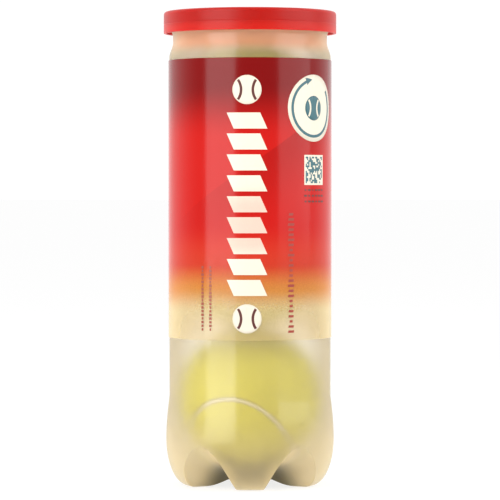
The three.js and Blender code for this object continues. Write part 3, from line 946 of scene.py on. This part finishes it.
def build_sleeve(looks):
    """The film round the can, with softened edges."""
    look = settings("sleeve")
    outer = SLEEVE_HIGH.x
    inner = outer - look.thickness
    edge = 0.09 * MM
    levels = np.linspace(SLEEVE_LOW.z + edge, SLEEVE_HIGH.z - edge, 24)
    outline = [(outer - edge, SLEEVE_LOW.z)]
    outline += [(outer, z) for z in levels]
    outline += [(outer - edge, SLEEVE_HIGH.z), (inner + edge / 2, SLEEVE_HIGH.z)]
    outline += [(inner, z) for z in levels[::-1]]
    outline += [(inner + edge / 2, SLEEVE_LOW.z)]
    film = turned("label_film", outline, looks, sides=WIDE_SIDES)
    stands_for(film, "can", "sleeve", "label_sleeve")


PRINT_RADIUS = SLEEVE_HIGH.x + 0.05 * MM
COLUMN_TURN = math.radians(-2.1)  # the middle of the bars, round the can from the front
COLUMN_HEIGHT = 0.1295
BAR_PITCH = 9.4 * MM
BAR_SLANT = -0.45
BADGE_TURN, BADGE_HEIGHT = math.radians(50), 0.173
SQUARE_TURN, SQUARE_HEIGHT = math.radians(51), 0.145


def print_grid(name, tree, **values):
    """One block of printed plates, made by the wrapping tree."""
    empty = placed(name, mesh_of(name, []))
    stands_for(grown(name, empty, tree, Radius=PRINT_RADIUS, **values), "can", "sleeve")


def arc_plate(round_can, centre_z, inner, outer, start, end, taper=0.0, layer=0, steps=40):
    """Points and faces of a flat arc, wrapped round the sleeve as a thin closed plate."""
    spans = np.linspace(0, 1, steps + 1)
    bands = np.linspace(0, 1, 5)
    rows = []
    middle = (inner + outer) / 2
    for side in (-0.02, 0.02):
        for t in spans:
            narrow = 1 - taper * t
            radii = middle + (np.array([inner, outer]) - middle) * narrow
            r = radii[0] + (radii[1] - radii[0]) * bands
            turn = start + (end - start) * t
            u, v = r * math.sin(turn), r * math.cos(turn)
            reach = PRINT_RADIUS + (side + 0.03 * layer) * MM
            around = round_can + u / PRINT_RADIUS
            x, y = reach * np.sin(around), -reach * np.cos(around)
            rows.append(np.stack([x, y, centre_z + v], axis=1))
    across = len(bands)
    top = (steps + 1) * across
    faces = []
    for i in range(steps):
        for j in range(across - 1):
            a = i * across + j
            faces.append((a, a + 1, a + across + 1, a + across))
            faces.append(tuple(k + top for k in (a + across, a + across + 1, a + 1, a)))
        for j in (0, across - 1):
            a = i * across + j
            faces.append((a, a + across, a + across + top, a + top))
    for i in (0, steps):
        for j in range(across - 1):
            a = i * across + j
            faces.append((a, a + 1, a + 1 + top, a + top))
    return np.concatenate(rows), faces


def print_shape(name, looks, plates):
    """A printed shape of several arcs, as one piece."""
    parts = []
    for i, (place, shape) in enumerate(plates):
        parts.append(new_object(f"{name}_{i}", *arc_plate(*place, **shape), looks, None))
    stands_for(join(name, *parts), "can", "sleeve")


def ball_icon(round_can, centre_z, radius, layer):
    """A plain disc for a ball, and the two curves across it."""
    disc = ((round_can, centre_z, 0.0, radius, 0.0, TURN), {"layer": layer})
    far, reach, line = 1.55 * radius, 1.15 * radius, 0.09 * radius
    curves = []
    for side in (-1, 1):
        middle = side * math.pi / 2
        shift = round_can - side * far / PRINT_RADIUS
        span = (reach - line, reach + line, middle - 0.62, middle + 0.62)
        curves.append(((shift, centre_z, *span), {"layer": layer + 1}))
    return disc, curves


def build_badge(cream, teal):
    """A round badge: a ring arrow about a ball."""
    centre = (BADGE_TURN, BADGE_HEIGHT)
    print_shape("print_badge", cream, [((*centre, 0.0, 15.2 * MM, 0.0, TURN), {"steps": 64})])
    shaft = (*centre, 12.1 * MM, 13.4 * MM, 0.9, 5.9)
    head = (*centre, 11.2 * MM, 14.6 * MM, 5.9, 6.2)
    arrow = [
        (shaft, {"layer": 1, "steps": 60}),
        (head, {"layer": 1, "taper": 0.98, "steps": 10}),
    ]
    print_shape("print_arrow", teal, arrow)
    disc, curves = ball_icon(*centre, 5.6 * MM, 1)
    print_shape("print_badge_ball", teal, [disc])
    print_shape("print_badge_seams", cream, curves)


def build_prints(cream, teal, dark):
    """Everything printed: the column of bars, the badge, the square and the small marks."""
    look = settings("sleeve")
    tree = print_tree(cream)
    print_grid(
        "print_bars",
        tree,
        Rows=look.bars,
        Pitch_Z=BAR_PITCH,
        Width=look.bar_width,
        Height=look.bar_height,
        Slant=BAR_SLANT,
        Round=COLUMN_TURN,
        Centre_Z=COLUMN_HEIGHT,
        Segments=14,
    )
    for name, z in (("print_ball_high", 0.1810), ("print_ball_low", 0.0780)):
        disc, curves = ball_icon(COLUMN_TURN, z, 6.6 * MM, 0)
        print_shape(name, cream, [disc])
        print_shape(name + "_seams", dark, curves)
    build_badge(cream, teal)
    side, pitch = 13.6 * MM, 0.8 * MM
    square = {"Round": SQUARE_TURN, "Centre_Z": SQUARE_HEIGHT}
    print_grid("print_square", tree, Rows=1, Width=side, Height=side, Segments=12, **square)
    print_grid(
        "print_modules",
        print_tree(teal),
        Columns=look.modules,
        Rows=look.modules,
        Pitch_X=pitch,
        Pitch_Z=pitch,
        Width=pitch * 0.98,
        Height=pitch * 0.98,
        Thickness=0.09 * MM,
        Keep=0.5,
        Segments=2,
        Seed=11,
        **square,
    )
    print_grid(
        "print_rows",
        print_tree(dark),
        Columns=6,
        Rows=3,
        Pitch_X=2.4 * MM,
        Pitch_Z=2.6 * MM,
        Width=1.9 * MM,
        Height=0.8 * MM,
        Ragged=0.6,
        Round=SQUARE_TURN,
        Centre_Z=0.1333,
        Segments=3,
        Seed=4,
    )
    print_grid(
        "print_side_marks",
        print_tree(ink_material("side_red", (0.34, 0.03, 0.018))),
        Rows=24,
        Pitch_Z=2.3 * MM,
        Width=3.4 * MM,
        Height=1.1 * MM,
        Slant=0.35,
        Ragged=0.55,
        Round=math.radians(29.5),
        Centre_Z=0.0985,
        Segments=4,
        Seed=8,
    )
    print_grid(
        "print_foot_marks",
        print_tree(ink_material("foot_brown", (0.30, 0.05, 0.03))),
        Columns=2,
        Rows=18,
        Pitch_X=4.2 * MM,
        Pitch_Z=1.65 * MM,
        Width=1.5 * MM,
        Height=1.1 * MM,
        Ragged=0.5,
        Round=math.radians(-31.5),
        Centre_Z=0.087,
        Segments=2,
        Seed=6,
    )


# ---- Seamed end ----


def build_end(ring_look, panel_look, compound_look):
    """The seamed ring, its sealing compound, and the tear-out panel with its rivet."""
    look = settings("end")
    shell = settings("shell")
    low, high = SEAM_LOW.z, SEAM_HIGH.z
    seam_low = high - SEAM_DEPTH
    crown = high - look.seam_sheet
    outer = SEAM_HIGH.x
    hook = shell.mouth_radius + 0.4 * MM
    chuck = shell.mouth_radius - shell.wall - 0.3 * MM
    bore = chuck - look.seam_sheet
    ledge = low + look.sheet
    soft = 0.22 * MM
    tuck = outer - look.seam_sheet + 0.05 * MM
    outline = rounded(
        [
            (hook, seam_low, soft),
            (outer, seam_low, 0.45 * MM),
            (outer, high, 0.85 * MM),
            (bore, high, 0.85 * MM),
            (bore, ledge, 0.3 * MM),
            (look.aperture, ledge, 0.12 * MM),
            (look.aperture, low, 0.12 * MM),
            (chuck, low, 0.3 * MM),
            (chuck, crown, 0.3 * MM),
            (tuck, crown, 0.3 * MM),
            (tuck, seam_low + look.seam_sheet, 0.1 * MM),
            (hook, seam_low + look.seam_sheet, soft),
        ],
        5,
    )
    ring = turned("seamed_ring", outline, ring_look, sides=RING_SIDES)
    stands_for(ring, "can", "end_metal", "seam_ring")

    inner = chuck + 0.4 * MM
    under, over = COMPOUND_LOW.z, COMPOUND_HIGH.z
    corners = ((inner, under), (COMPOUND_HIGH.x, under), (COMPOUND_HIGH.x, over), (inner, over))
    bead = rounded([(*corner, 0.15 * MM) for corner in corners], 3)
    compound = turned("compound_ring", bead, compound_look)
    stands_for(compound, "can", "compound", "sealing_compound")

    raised = 0.12 * MM
    edge = PANEL_HIGH.x
    bead_out, bead_in = edge - 3.7 * MM, edge - 6.1 * MM
    face = [
        (0.0, -look.well_depth, 0.0),
        (look.well_radius - 1.3 * MM, -look.well_depth, 0.6 * MM),
        (look.well_radius, 0.0, 0.6 * MM),
        (bead_in, 0.0, 0.5 * MM),
        (bead_in + 0.6 * MM, -look.bead_depth, 0.4 * MM),
        (bead_out - 0.6 * MM, -look.bead_depth, 0.4 * MM),
        (bead_out, 0.0, 0.5 * MM),
        (edge - 1.1 * MM, 0.0, 0.1 * MM),
        (edge - 0.8 * MM, raised, 0.1 * MM),
        (edge - 0.4 * MM, raised, 0.1 * MM),
        (edge, 0.0, 0.0),
    ]
    upper = [(r, ledge + z - raised, bend) for r, z, bend in face]
    lower = [(r, z - look.sheet + raised, bend) for r, z, bend in upper][::-1]
    disc = turned("panel_disc", rounded(upper + lower), panel_look, sides=RING_SIDES)
    rivet_y = look.hinge_y - look.rivet_back
    head_top = PANEL_HIGH.z
    head_low = head_top - 0.7 * MM
    rivet = rounded(
        [
            (0.0, ledge - 0.2 * MM, 0.0),
            (look.rivet_radius, ledge - 0.2 * MM, 0.0),
            (look.rivet_radius, head_low, 0.1 * MM),
            (look.rivet_head, head_low, 0.15 * MM),
            (look.rivet_head, head_top, 0.4 * MM),
            (1.1 * MM, head_top, 0.2 * MM),
            (0.8 * MM, head_top - 0.25 * MM, 0.15 * MM),
            (0.0, head_top - 0.25 * MM, 0.0),
        ],
        4,
    )
    stud = turned("panel_rivet", rivet, panel_look, sides=48, centre=(0.0, rivet_y))
    panel = join("tear_out_panel", disc, stud)
    stands_for(panel, "end_panel", "end_metal", "tear_panel")


# ---- Ring-pull ----


def arc_points(x, y, radius, start, end, steps):
    """Points of an arc in the plane."""
    turns = np.linspace(start, end, steps + 1)
    return [(x + radius * math.cos(t), y + radius * math.sin(t)) for t in turns]


def tab_loops(look, inset):
    """The tab's outline and finger hole, as loops about the hinge line, moved in by inset."""
    width = TAB_HIGH.x - TAB_LOW.x
    half = width / 2 - inset
    nose = look.nose_width / 2 - inset
    front = TAB_HIGH.y - look.hinge_y - inset
    ring_y = -(look.hinge_y - TAB_LOW.y - width / 2)
    right = [(half, -9.4 * MM), (half - 0.25 * MM, -7.8 * MM), (nose, front - 1.6 * MM)]
    right += [(nose - 0.5 * MM, front - 0.45 * MM), (nose - 1.6 * MM, front)]
    left = [(-x, y) for x, y in right[::-1]]
    outline = left + arc_points(0, ring_y, half, math.pi, TURN, 40) + right
    hole = width / 2 - look.tab_rim + inset
    top = -14.6 * MM + inset
    right = [(hole, top - 0.9 * MM), (hole - 0.2 * MM, top - 0.25 * MM), (hole - 0.8 * MM, top)]
    left = [(-x, y) for x, y in right[::-1]]
    return outline, left + arc_points(0, ring_y, hole, math.pi, TURN, 36) + right


def flat_plate(name, loops, low, high, edge, looks):
    """A plate with rounded edges from flat loops, drawn about the hinge line."""
    look = settings("end")
    curve = bpy.data.curves.new(name, "CURVE")
    curve.dimensions = "2D"
    curve.fill_mode = "BOTH"
    for loop in loops:
        spline = curve.splines.new("POLY")
        spline.points.add(len(loop) - 1)
        for point, (x, y) in zip(spline.points, loop):
            point.co = (x, y, 0.0, 1.0)
        spline.use_cyclic_u = True
    curve.extrude = (high - low) / 2 - edge
    curve.bevel_depth = edge
    curve.bevel_resolution = 3
    curve.offset = -edge
    source = placed(name, curve)
    mesh = plain_mesh(source)
    bpy.data.objects.remove(source)
    mesh.transform(Matrix.Translation((0.0, look.hinge_y, (low + high) / 2)))
    points = [v.co.copy() for v in mesh.vertices]
    faces = [tuple(p.vertices) for p in mesh.polygons]
    return new_object(name, points, faces, looks, 40)


def loop_object(name, loops, z):
    """Closed loops of edges, for a rod to follow."""
    look = settings("end")
    points, edges = [], []
    for loop in loops:
        first = len(points)
        points += [(x, look.hinge_y + y, z) for x, y in loop]
        edges += [(first + i, first + (i + 1) % len(loop)) for i in range(len(loop))]
    return placed(name, mesh_of(name, points, edges))


def build_tab(tab_look):
    """The ring-pull, a web with curled edges, and the tongue that the rivet holds."""
    look = settings("end")
    tongue_half = (TONGUE_HIGH.x - TONGUE_LOW.x) / 2
    side = tongue_half + 0.8 * MM
    near, far = -2.9 * MM, -12 * MM
    window = [(-side, near), (side, near), (side, far + 1.5 * MM), (side - 1.5 * MM, far)]
    window += [(-side + 1.5 * MM, far), (-side, far + 1.5 * MM)]
    outline, finger = tab_loops(look, 0.35 * MM)
    low, high = TAB_LOW.z, TAB_HIGH.z
    loops = [outline, window, finger]
    web = flat_plate("tab_web", loops, low + 0.35 * MM, high - 0.3 * MM, 0.2 * MM, tab_look)
    curl = (high - low) / 2
    paths = loop_object("tab_paths", tab_loops(look, curl), (low + high) / 2)
    rods = grown("tab_rods", paths, rod_tree(tab_look), Radius=curl, Sides=16)
    tab = join("ring_pull", web, rods)
    stands_for(tab, "pull_tab", "end_metal", "pull_tab")

    back = -look.rivet_back
    shape = [(tongue_half, near - 0.3 * MM), (-tongue_half, near - 0.3 * MM)]
    shape += arc_points(0, back, tongue_half, math.pi, TURN, 24)
    eye = arc_points(0, back, look.rivet_radius + 0.3 * MM, 0, TURN, 32)[:-1]
    low, high = TONGUE_LOW.z, TONGUE_HIGH.z
    tongue = flat_plate("rivet_tongue", [shape, eye], low, high, 0.12 * MM, tab_look)
    stands_for(tongue, "end_panel", "end_metal", "tab_tongue")


# ---- Overcap ----


def build_overcap(looks):
    """The overcap in section, with a sunk top, a raised rim and a grip bead."""
    look = settings("overcap")
    radius, low, high = CAP_HIGH.x, CAP_LOW.z, CAP_HIGH.z
    inside = radius - look.wall
    under = high - look.top
    rim = radius - look.rim
    grip = SEAM_HIGH.z - 4.5 * MM
    fine = 0.12 * MM
    sunk = high - look.sink
    outline = rounded(
        [
            (0.0, sunk - 0.25 * MM, 0.0),
            (1.6 * MM, sunk - 0.25 * MM, 0.1 * MM),
            (1.9 * MM, sunk, 0.1 * MM),
            (17.0 * MM, sunk, 0.2 * MM),
            (17.4 * MM, sunk + 0.15 * MM, 0.1 * MM),
            (18.0 * MM, sunk + 0.15 * MM, 0.1 * MM),
            (18.4 * MM, sunk, 0.2 * MM),
            (rim - look.sink, sunk, 0.4 * MM),
            (rim, high, 0.3 * MM),
            (radius, high, look.rounding * 1.1),
            (radius, grip + 0.45 * MM, fine),
            (radius - 0.07 * MM, grip + 0.30 * MM, fine),
            (radius - 0.07 * MM, grip + 0.05 * MM, fine),
            (radius, grip - 0.10 * MM, fine),
            (radius, low, 0.3 * MM),
            (inside, low, 0.3 * MM),
            (inside, grip - 0.5 * MM, 0.2 * MM),
            (inside - fine, grip, 0.2 * MM),
            (inside, grip + 0.5 * MM, 0.2 * MM),
            (inside, under, 0.5 * MM),
            (rim + look.sink / 2, under, 0.3 * MM),
            (rim - look.sink / 2, under - look.sink, 0.3 * MM),
            (0.0, under - look.sink, 0.0),
        ],
        6,
    )
    cap = turned("push_on_overcap", outline, looks, sides=WIDE_SIDES)
    stands_for(cap, "overcap", "overcap", "overcap")


# ---- Balls ----


CLOTH_STEPS = 176  # points round the edge of a felt panel
CLOTH_ROWS = 22  # from the panel's spine to where its edge rolls over
SEAM_STEPS = 240  # points along the seam
CORE_SIDES = 64


def seam_point(t, share_one):
    """The seam curve on a unit ball, at parameter t, with a panel about each end of Z."""
    other = 1 - share_one
    x = share_one * np.cos(t) + other * np.cos(3 * t)
    y = share_one * np.sin(t) - other * np.sin(3 * t)
    z = 2 * math.sqrt(share_one * other) * np.sin(2 * t)
    return np.stack([(x - y) / math.sqrt(2), (x + y) / math.sqrt(2), z], axis=-1)


def beside_seam(t, share_one, angle):
    """The seam curve moved sideways by an angle, towards the upper panel."""
    here = seam_point(t, share_one)
    ahead = seam_point(t + 1e-3, share_one) - seam_point(t - 1e-3, share_one)
    across = np.cross(here, ahead)
    across /= np.linalg.norm(across, axis=-1, keepdims=True)
    return here * math.cos(angle) + across * math.sin(angle)


def ball_place(number):
    """Where a ball lies: its turn about its own centre, then the centre's height."""
    look = settings("ball")
    shell = settings("shell")
    tilt, turn = (math.radians(a) for a in BALL_TURNS[number - 1])
    first = shell.dome + shell.base_wall + look.play + look.radius
    height = first + (number - 1) * (2 * look.radius + look.play)
    lay = Matrix.Rotation(turn, 4, "Z") @ Matrix.Rotation(tilt, 4, "X")
    return Matrix.Translation((0.0, 0.0, height)) @ lay


def felt_panel(name, flip, place):
    """One cloth panel, a thick dumbbell whose edges roll over into the seam."""
    look = settings("ball")
    steps, rows = CLOTH_STEPS, CLOTH_ROWS
    t = np.arange(steps) * TURN / steps
    edge = beside_seam(t, look.seam_shape, (look.cement_width / 2 + look.play) / look.radius)
    lean = math.radians(100) * np.cos(t - 3 * math.pi / 4)
    spine = np.stack([-np.sin(lean), 0 * lean, np.cos(lean)], axis=-1)
    span = np.arccos(np.clip((edge * spine).sum(-1), -1, 1))
    roll = 1.3 * MM
    distances = [roll * d for d in (1.0, 0.72, 0.48, 0.28, 0.13, 0.04, 0.0)]
    points, outer = [], []

    def add_row(part, radius, mark):
        part = np.minimum(part, 1.0)[:, None]
        wide = span[:, None]
        way = (np.sin((1 - part) * wide) * spine + np.sin(part * wide) * edge) / np.sin(wide)
        points.append(way * radius)
        outer.extend([mark] * steps)

    for i in range(rows):
        add_row((1 - roll / (span * look.radius)) * i / rows, look.radius, 1.0)
    for d in distances:
        fall = 0.7 * MM * (1 - math.sqrt(max(0.0, 1 - (1 - d / roll) ** 2)))
        add_row(1 - d / (span * look.radius), look.radius - fall, 1.0 if d > 0.3 * roll else 0.0)
    for part in (1.0, 0.75, 0.5, 0.25, 0.0):
        add_row(np.full(steps, part), look.radius - look.felt, 0.0)
    mesh = mesh_of(name, np.concatenate(points), [], ring_faces(len(points), steps))
    marks = mesh.attributes.new("outer", "FLOAT", "POINT")
    marks.data.foreach_set("value", outer)
    mended(mesh, doubles=2e-6)
    if flip:
        mesh.transform(Matrix.Rotation(math.pi, 4, (math.sqrt(0.5), math.sqrt(0.5), 0.0)))
    mesh.transform(place)
    return placed(name, mesh)


def core_half(name, lower, place, looks):
    """One of the two rubber cups, with a shallow step round its rim."""
    look = settings("ball")
    radius = look.radius - look.felt - look.core_gap
    inner = radius - look.core_wall
    rim = look.play / 2
    turns = np.linspace(0, math.pi / 2, 13)
    outline = [(inner * math.sin(t), max(inner * math.cos(t), rim)) for t in turns]
    outline += [(radius * math.sin(t), max(radius * math.cos(t), rim)) for t in turns[::-1]]
    outline[0] = (0.0, inner)
    outline[-1] = (0.0, radius)
    half = turned(name, outline, looks, sides=CORE_SIDES)
    if lower:
        half.data.transform(Matrix.Rotation(math.pi, 4, "X"))
    half.data.transform(place)
    return half


def build_ball(number, tree, cement_tree, rubber_look):
    """One ball: two felt panels, the cement seam between them, and two rubber cups."""
    look = settings("ball")
    body = f"ball_{number}"
    place = ball_place(number)
    for letter, flip in (("a", False), ("b", True)):
        panel = felt_panel(f"{body}_cloth_{letter}", flip, place)
        cloth = grown(
            f"{body}_cloth_{letter}",
            panel,
            tree,
            Nap=look.nap,
            Density=look.fibres * 1.0,
            Length=look.fibre,
            Thickness=look.fibre_radius,
            Seed=10 * number + flip,
        )
        stands_for(cloth, body, "felt", f"{body}_felt_{letter}")
    half_width = look.cement_width / 2 + 0.7 * look.play
    t = np.arange(SEAM_STEPS) * TURN / SEAM_STEPS
    line = seam_point(t, look.seam_shape)
    line /= np.linalg.norm(line, axis=-1, keepdims=True)
    line *= look.radius - look.cement_sunk - half_width
    mesh = mesh_of("seam_path", line, [(i, (i + 1) % SEAM_STEPS) for i in range(SEAM_STEPS)])
    mesh.transform(place)
    path = placed("seam_path", mesh)
    seam = grown(f"{body}_cement", path, cement_tree, Radius=half_width, Sides=12)
    stands_for(seam, body, "cement", f"{body}_seam_cement")
    for half, lower in (("upper", False), ("lower", True)):
        core = core_half(f"{body}_rubber_{half}", lower, place, rubber_look)
        stands_for(core, body, "core", f"{body}_core_{half}")


# ---- Stage ----


STRIPS = (  # name, turn in degrees, width, share of the light, height of its foot
    ("strip_left", -42, 0.92, 1.05, -0.081),
    ("strip_right", 66, 1.12, 0.70, 0.100),
)
STRIP_HEIGHT = 1.6
STRIP_REACH = 1.15  # from the can's axis
SENSOR = 36  # mm
SKY_SEEN = 1.05  # brightness of the background where the camera looks straight at it
FLOOR_HALF = 40.0
FLOOR_DROP = 0.0004  # keeps the floor clear of the feet
FLOOR_GLOW = 1.12


def build_stage():
    """The camera, the soft light from all round, the pale floor and two tall softboxes."""
    look = settings("stage")
    scene = bpy.context.scene
    scene.view_settings.view_transform = "Standard"
    lens = bpy.data.cameras.new("camera")
    lens.lens = look.lens
    lens.sensor_width = SENSOR
    lens.clip_start = 0.05
    camera = placed("camera", lens)
    camera.location = (0.0, -look.distance, look.height)
    camera.rotation_euler = (math.pi / 2 - look.pitch, 0.0, 0.0)
    scene.camera = camera

    world = bpy.data.worlds.new("studio")
    scene.world = world
    world.use_nodes = True
    world.node_tree.nodes.clear()
    tree = Tree(world.node_tree)
    way = tree.add("ShaderNodeTexCoord").out("Generated")
    along = tree.add("ShaderNodeSeparateXYZ", None, way).out("Y")
    level = look.front + (look.back - look.front) * along.over(-0.5, 0.6)
    seen = tree.add("ShaderNodeLightPath").out("Is Camera Ray")
    strength = level + seen * (SKY_SEEN - level)
    sky = tree.add("ShaderNodeBackground", None, tinted(WHITE), Strength=strength)
    tree.add("ShaderNodeOutputWorld", None, sky)

    half = FLOOR_HALF
    square = ((-half, -half), (half, -half), (half, half), (-half, half))
    corners = [(x, y, -FLOOR_DROP) for x, y in square]
    floor = placed("floor", mesh_of("floor", corners, [], [(0, 1, 2, 3)]))
    tree, place, _ = material("pale_floor")
    grain = noise(tree, place, 30.0)
    pale = (0.1 * grain).mix((0.9, 0.9, 0.9), (0.86, 0.86, 0.86))
    glow = tree.add("ShaderNodeEmission", None, tinted(WHITE), FLOOR_GLOW)
    matt = tree.add("ShaderNodeBsdfDiffuse", None, pale)
    floor.data.materials.append(finished(tree, blended(tree, 0.3, glow, matt)))
    floor.visible_glossy = False

    for name, turn, width, power, foot in STRIPS:
        lamp = bpy.data.lights.new(name, "AREA")
        lamp.shape = "RECTANGLE"
        lamp.size, lamp.size_y = width, STRIP_HEIGHT
        lamp.energy = look.strips * power * lamp.size * lamp.size_y * math.pi
        around = math.radians(turn)
        across, ahead = STRIP_REACH * math.sin(around), STRIP_REACH * math.cos(around)
        light = placed(name, lamp)
        light.location = (across, -ahead, foot + lamp.size_y / 2)
        light.rotation_euler = (math.pi / 2, 0.0, around)


# ---- Operators ----


class BALLCAN_OT_stage(bpy.types.Operator):
    """Set up the camera, the soft studio light and the pale floor"""

    bl_idname = "ball_can.stage"
    bl_label = "Stage"

    def execute(self, context):
        build_stage()
        return {"FINISHED"}


class BALLCAN_OT_shell(bpy.types.Operator):
    """Build the clear can with its five-footed base"""

    bl_idname = "ball_can.shell"
    bl_label = "Can Shell"

    def execute(self, context):
        build_shell(pet_material())
        return {"FINISHED"}


class BALLCAN_OT_sleeve(bpy.types.Operator):
    """Wrap the printed film round the can"""

    bl_idname = "ball_can.sleeve"
    bl_label = "Sleeve"

    def execute(self, context):
        build_sleeve(film_material())
        return {"FINISHED"}


class BALLCAN_OT_prints(bpy.types.Operator):
    """Print the bars, badge and small marks on the film"""

    bl_idname = "ball_can.prints"
    bl_label = "Printing"

    def execute(self, context):
        look = settings("sleeve")
        cream = ink_material("cream_ink", look.cream, (1.0, 0.42, 0.34))
        teal = ink_material("teal_ink", look.teal)
        build_prints(cream, teal, ink_material("dark_ink", look.dark))
        return {"FINISHED"}


class BALLCAN_OT_end(bpy.types.Operator):
    """Build the seamed end: its ring, sealing compound and tear-out panel"""

    bl_idname = "ball_can.end"
    bl_label = "Seamed End"

    def execute(self, context):
        seam = metal_material("seam_metal", "X")
        build_end(seam, metal_material("panel_metal", "X"), compound_material())
        return {"FINISHED"}


class BALLCAN_OT_tab(bpy.types.Operator):
    """Build the ring-pull with its curled edges and its tongue"""

    bl_idname = "ball_can.tab"
    bl_label = "Ring-Pull"

    def execute(self, context):
        build_tab(metal_material("tab_metal", "Y"))
        return {"FINISHED"}


class BALLCAN_OT_overcap(bpy.types.Operator):
    """Build the red push-on overcap"""

    bl_idname = "ball_can.overcap"
    bl_label = "Overcap"

    def execute(self, context):
        build_overcap(overcap_material())
        return {"FINISHED"}


class BALLCAN_OT_balls(bpy.types.Operator):
    """Build the three balls: felt panels, cement seam and rubber core"""

    bl_idname = "ball_can.balls"
    bl_label = "Balls"

    def execute(self, context):
        look = settings("ball")
        felt = felt_material()
        cement = matt_material("seam_cement", look.cement, (0.52, 0.49, 0.33), 900.0, 0.0002)
        rubber = matt_material("core_rubber", look.rubber, (0.05, 0.048, 0.045), 1200.0, 0.0001)
        tree, cement_tree = felt_tree(felt), rod_tree(cement)
        for number in BALLS:
            build_ball(number, tree, cement_tree, rubber)
        return {"FINISHED"}


OPERATORS = (
    BALLCAN_OT_stage,
    BALLCAN_OT_shell,
    BALLCAN_OT_sleeve,
    BALLCAN_OT_prints,
    BALLCAN_OT_end,
    BALLCAN_OT_tab,
    BALLCAN_OT_overcap,
    BALLCAN_OT_balls,
)


class BALLCAN_PT_pieces(bpy.types.Panel):
    """Lists the pieces of the can"""

    bl_label = "Tennis Ball Can"
    bl_idname = "BALLCAN_PT_pieces"
    bl_space_type = "VIEW_3D"
    bl_region_type = "UI"
    bl_category = "Ball Can"

    def draw(self, context):
        for operator in OPERATORS:
            self.layout.operator(operator.bl_idname)


CLASSES = (*GROUPS.values(), *OPERATORS, BALLCAN_PT_pieces)


def register():
    for cls in CLASSES:
        bpy.utils.register_class(cls)
    for group, cls in GROUPS.items():
        setattr(bpy.types.Scene, "ball_can_" + group, PointerProperty(type=cls))


def unregister():
    for group in GROUPS:
        delattr(bpy.types.Scene, "ball_can_" + group)
    for cls in reversed(CLASSES):
        bpy.utils.unregister_class(cls)


def main():
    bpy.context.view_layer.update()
    register()
    for operator in OPERATORS:
        area, name = operator.bl_idname.split(".")
        getattr(getattr(bpy.ops, area), name)()


if __name__ == "__main__":
    main()
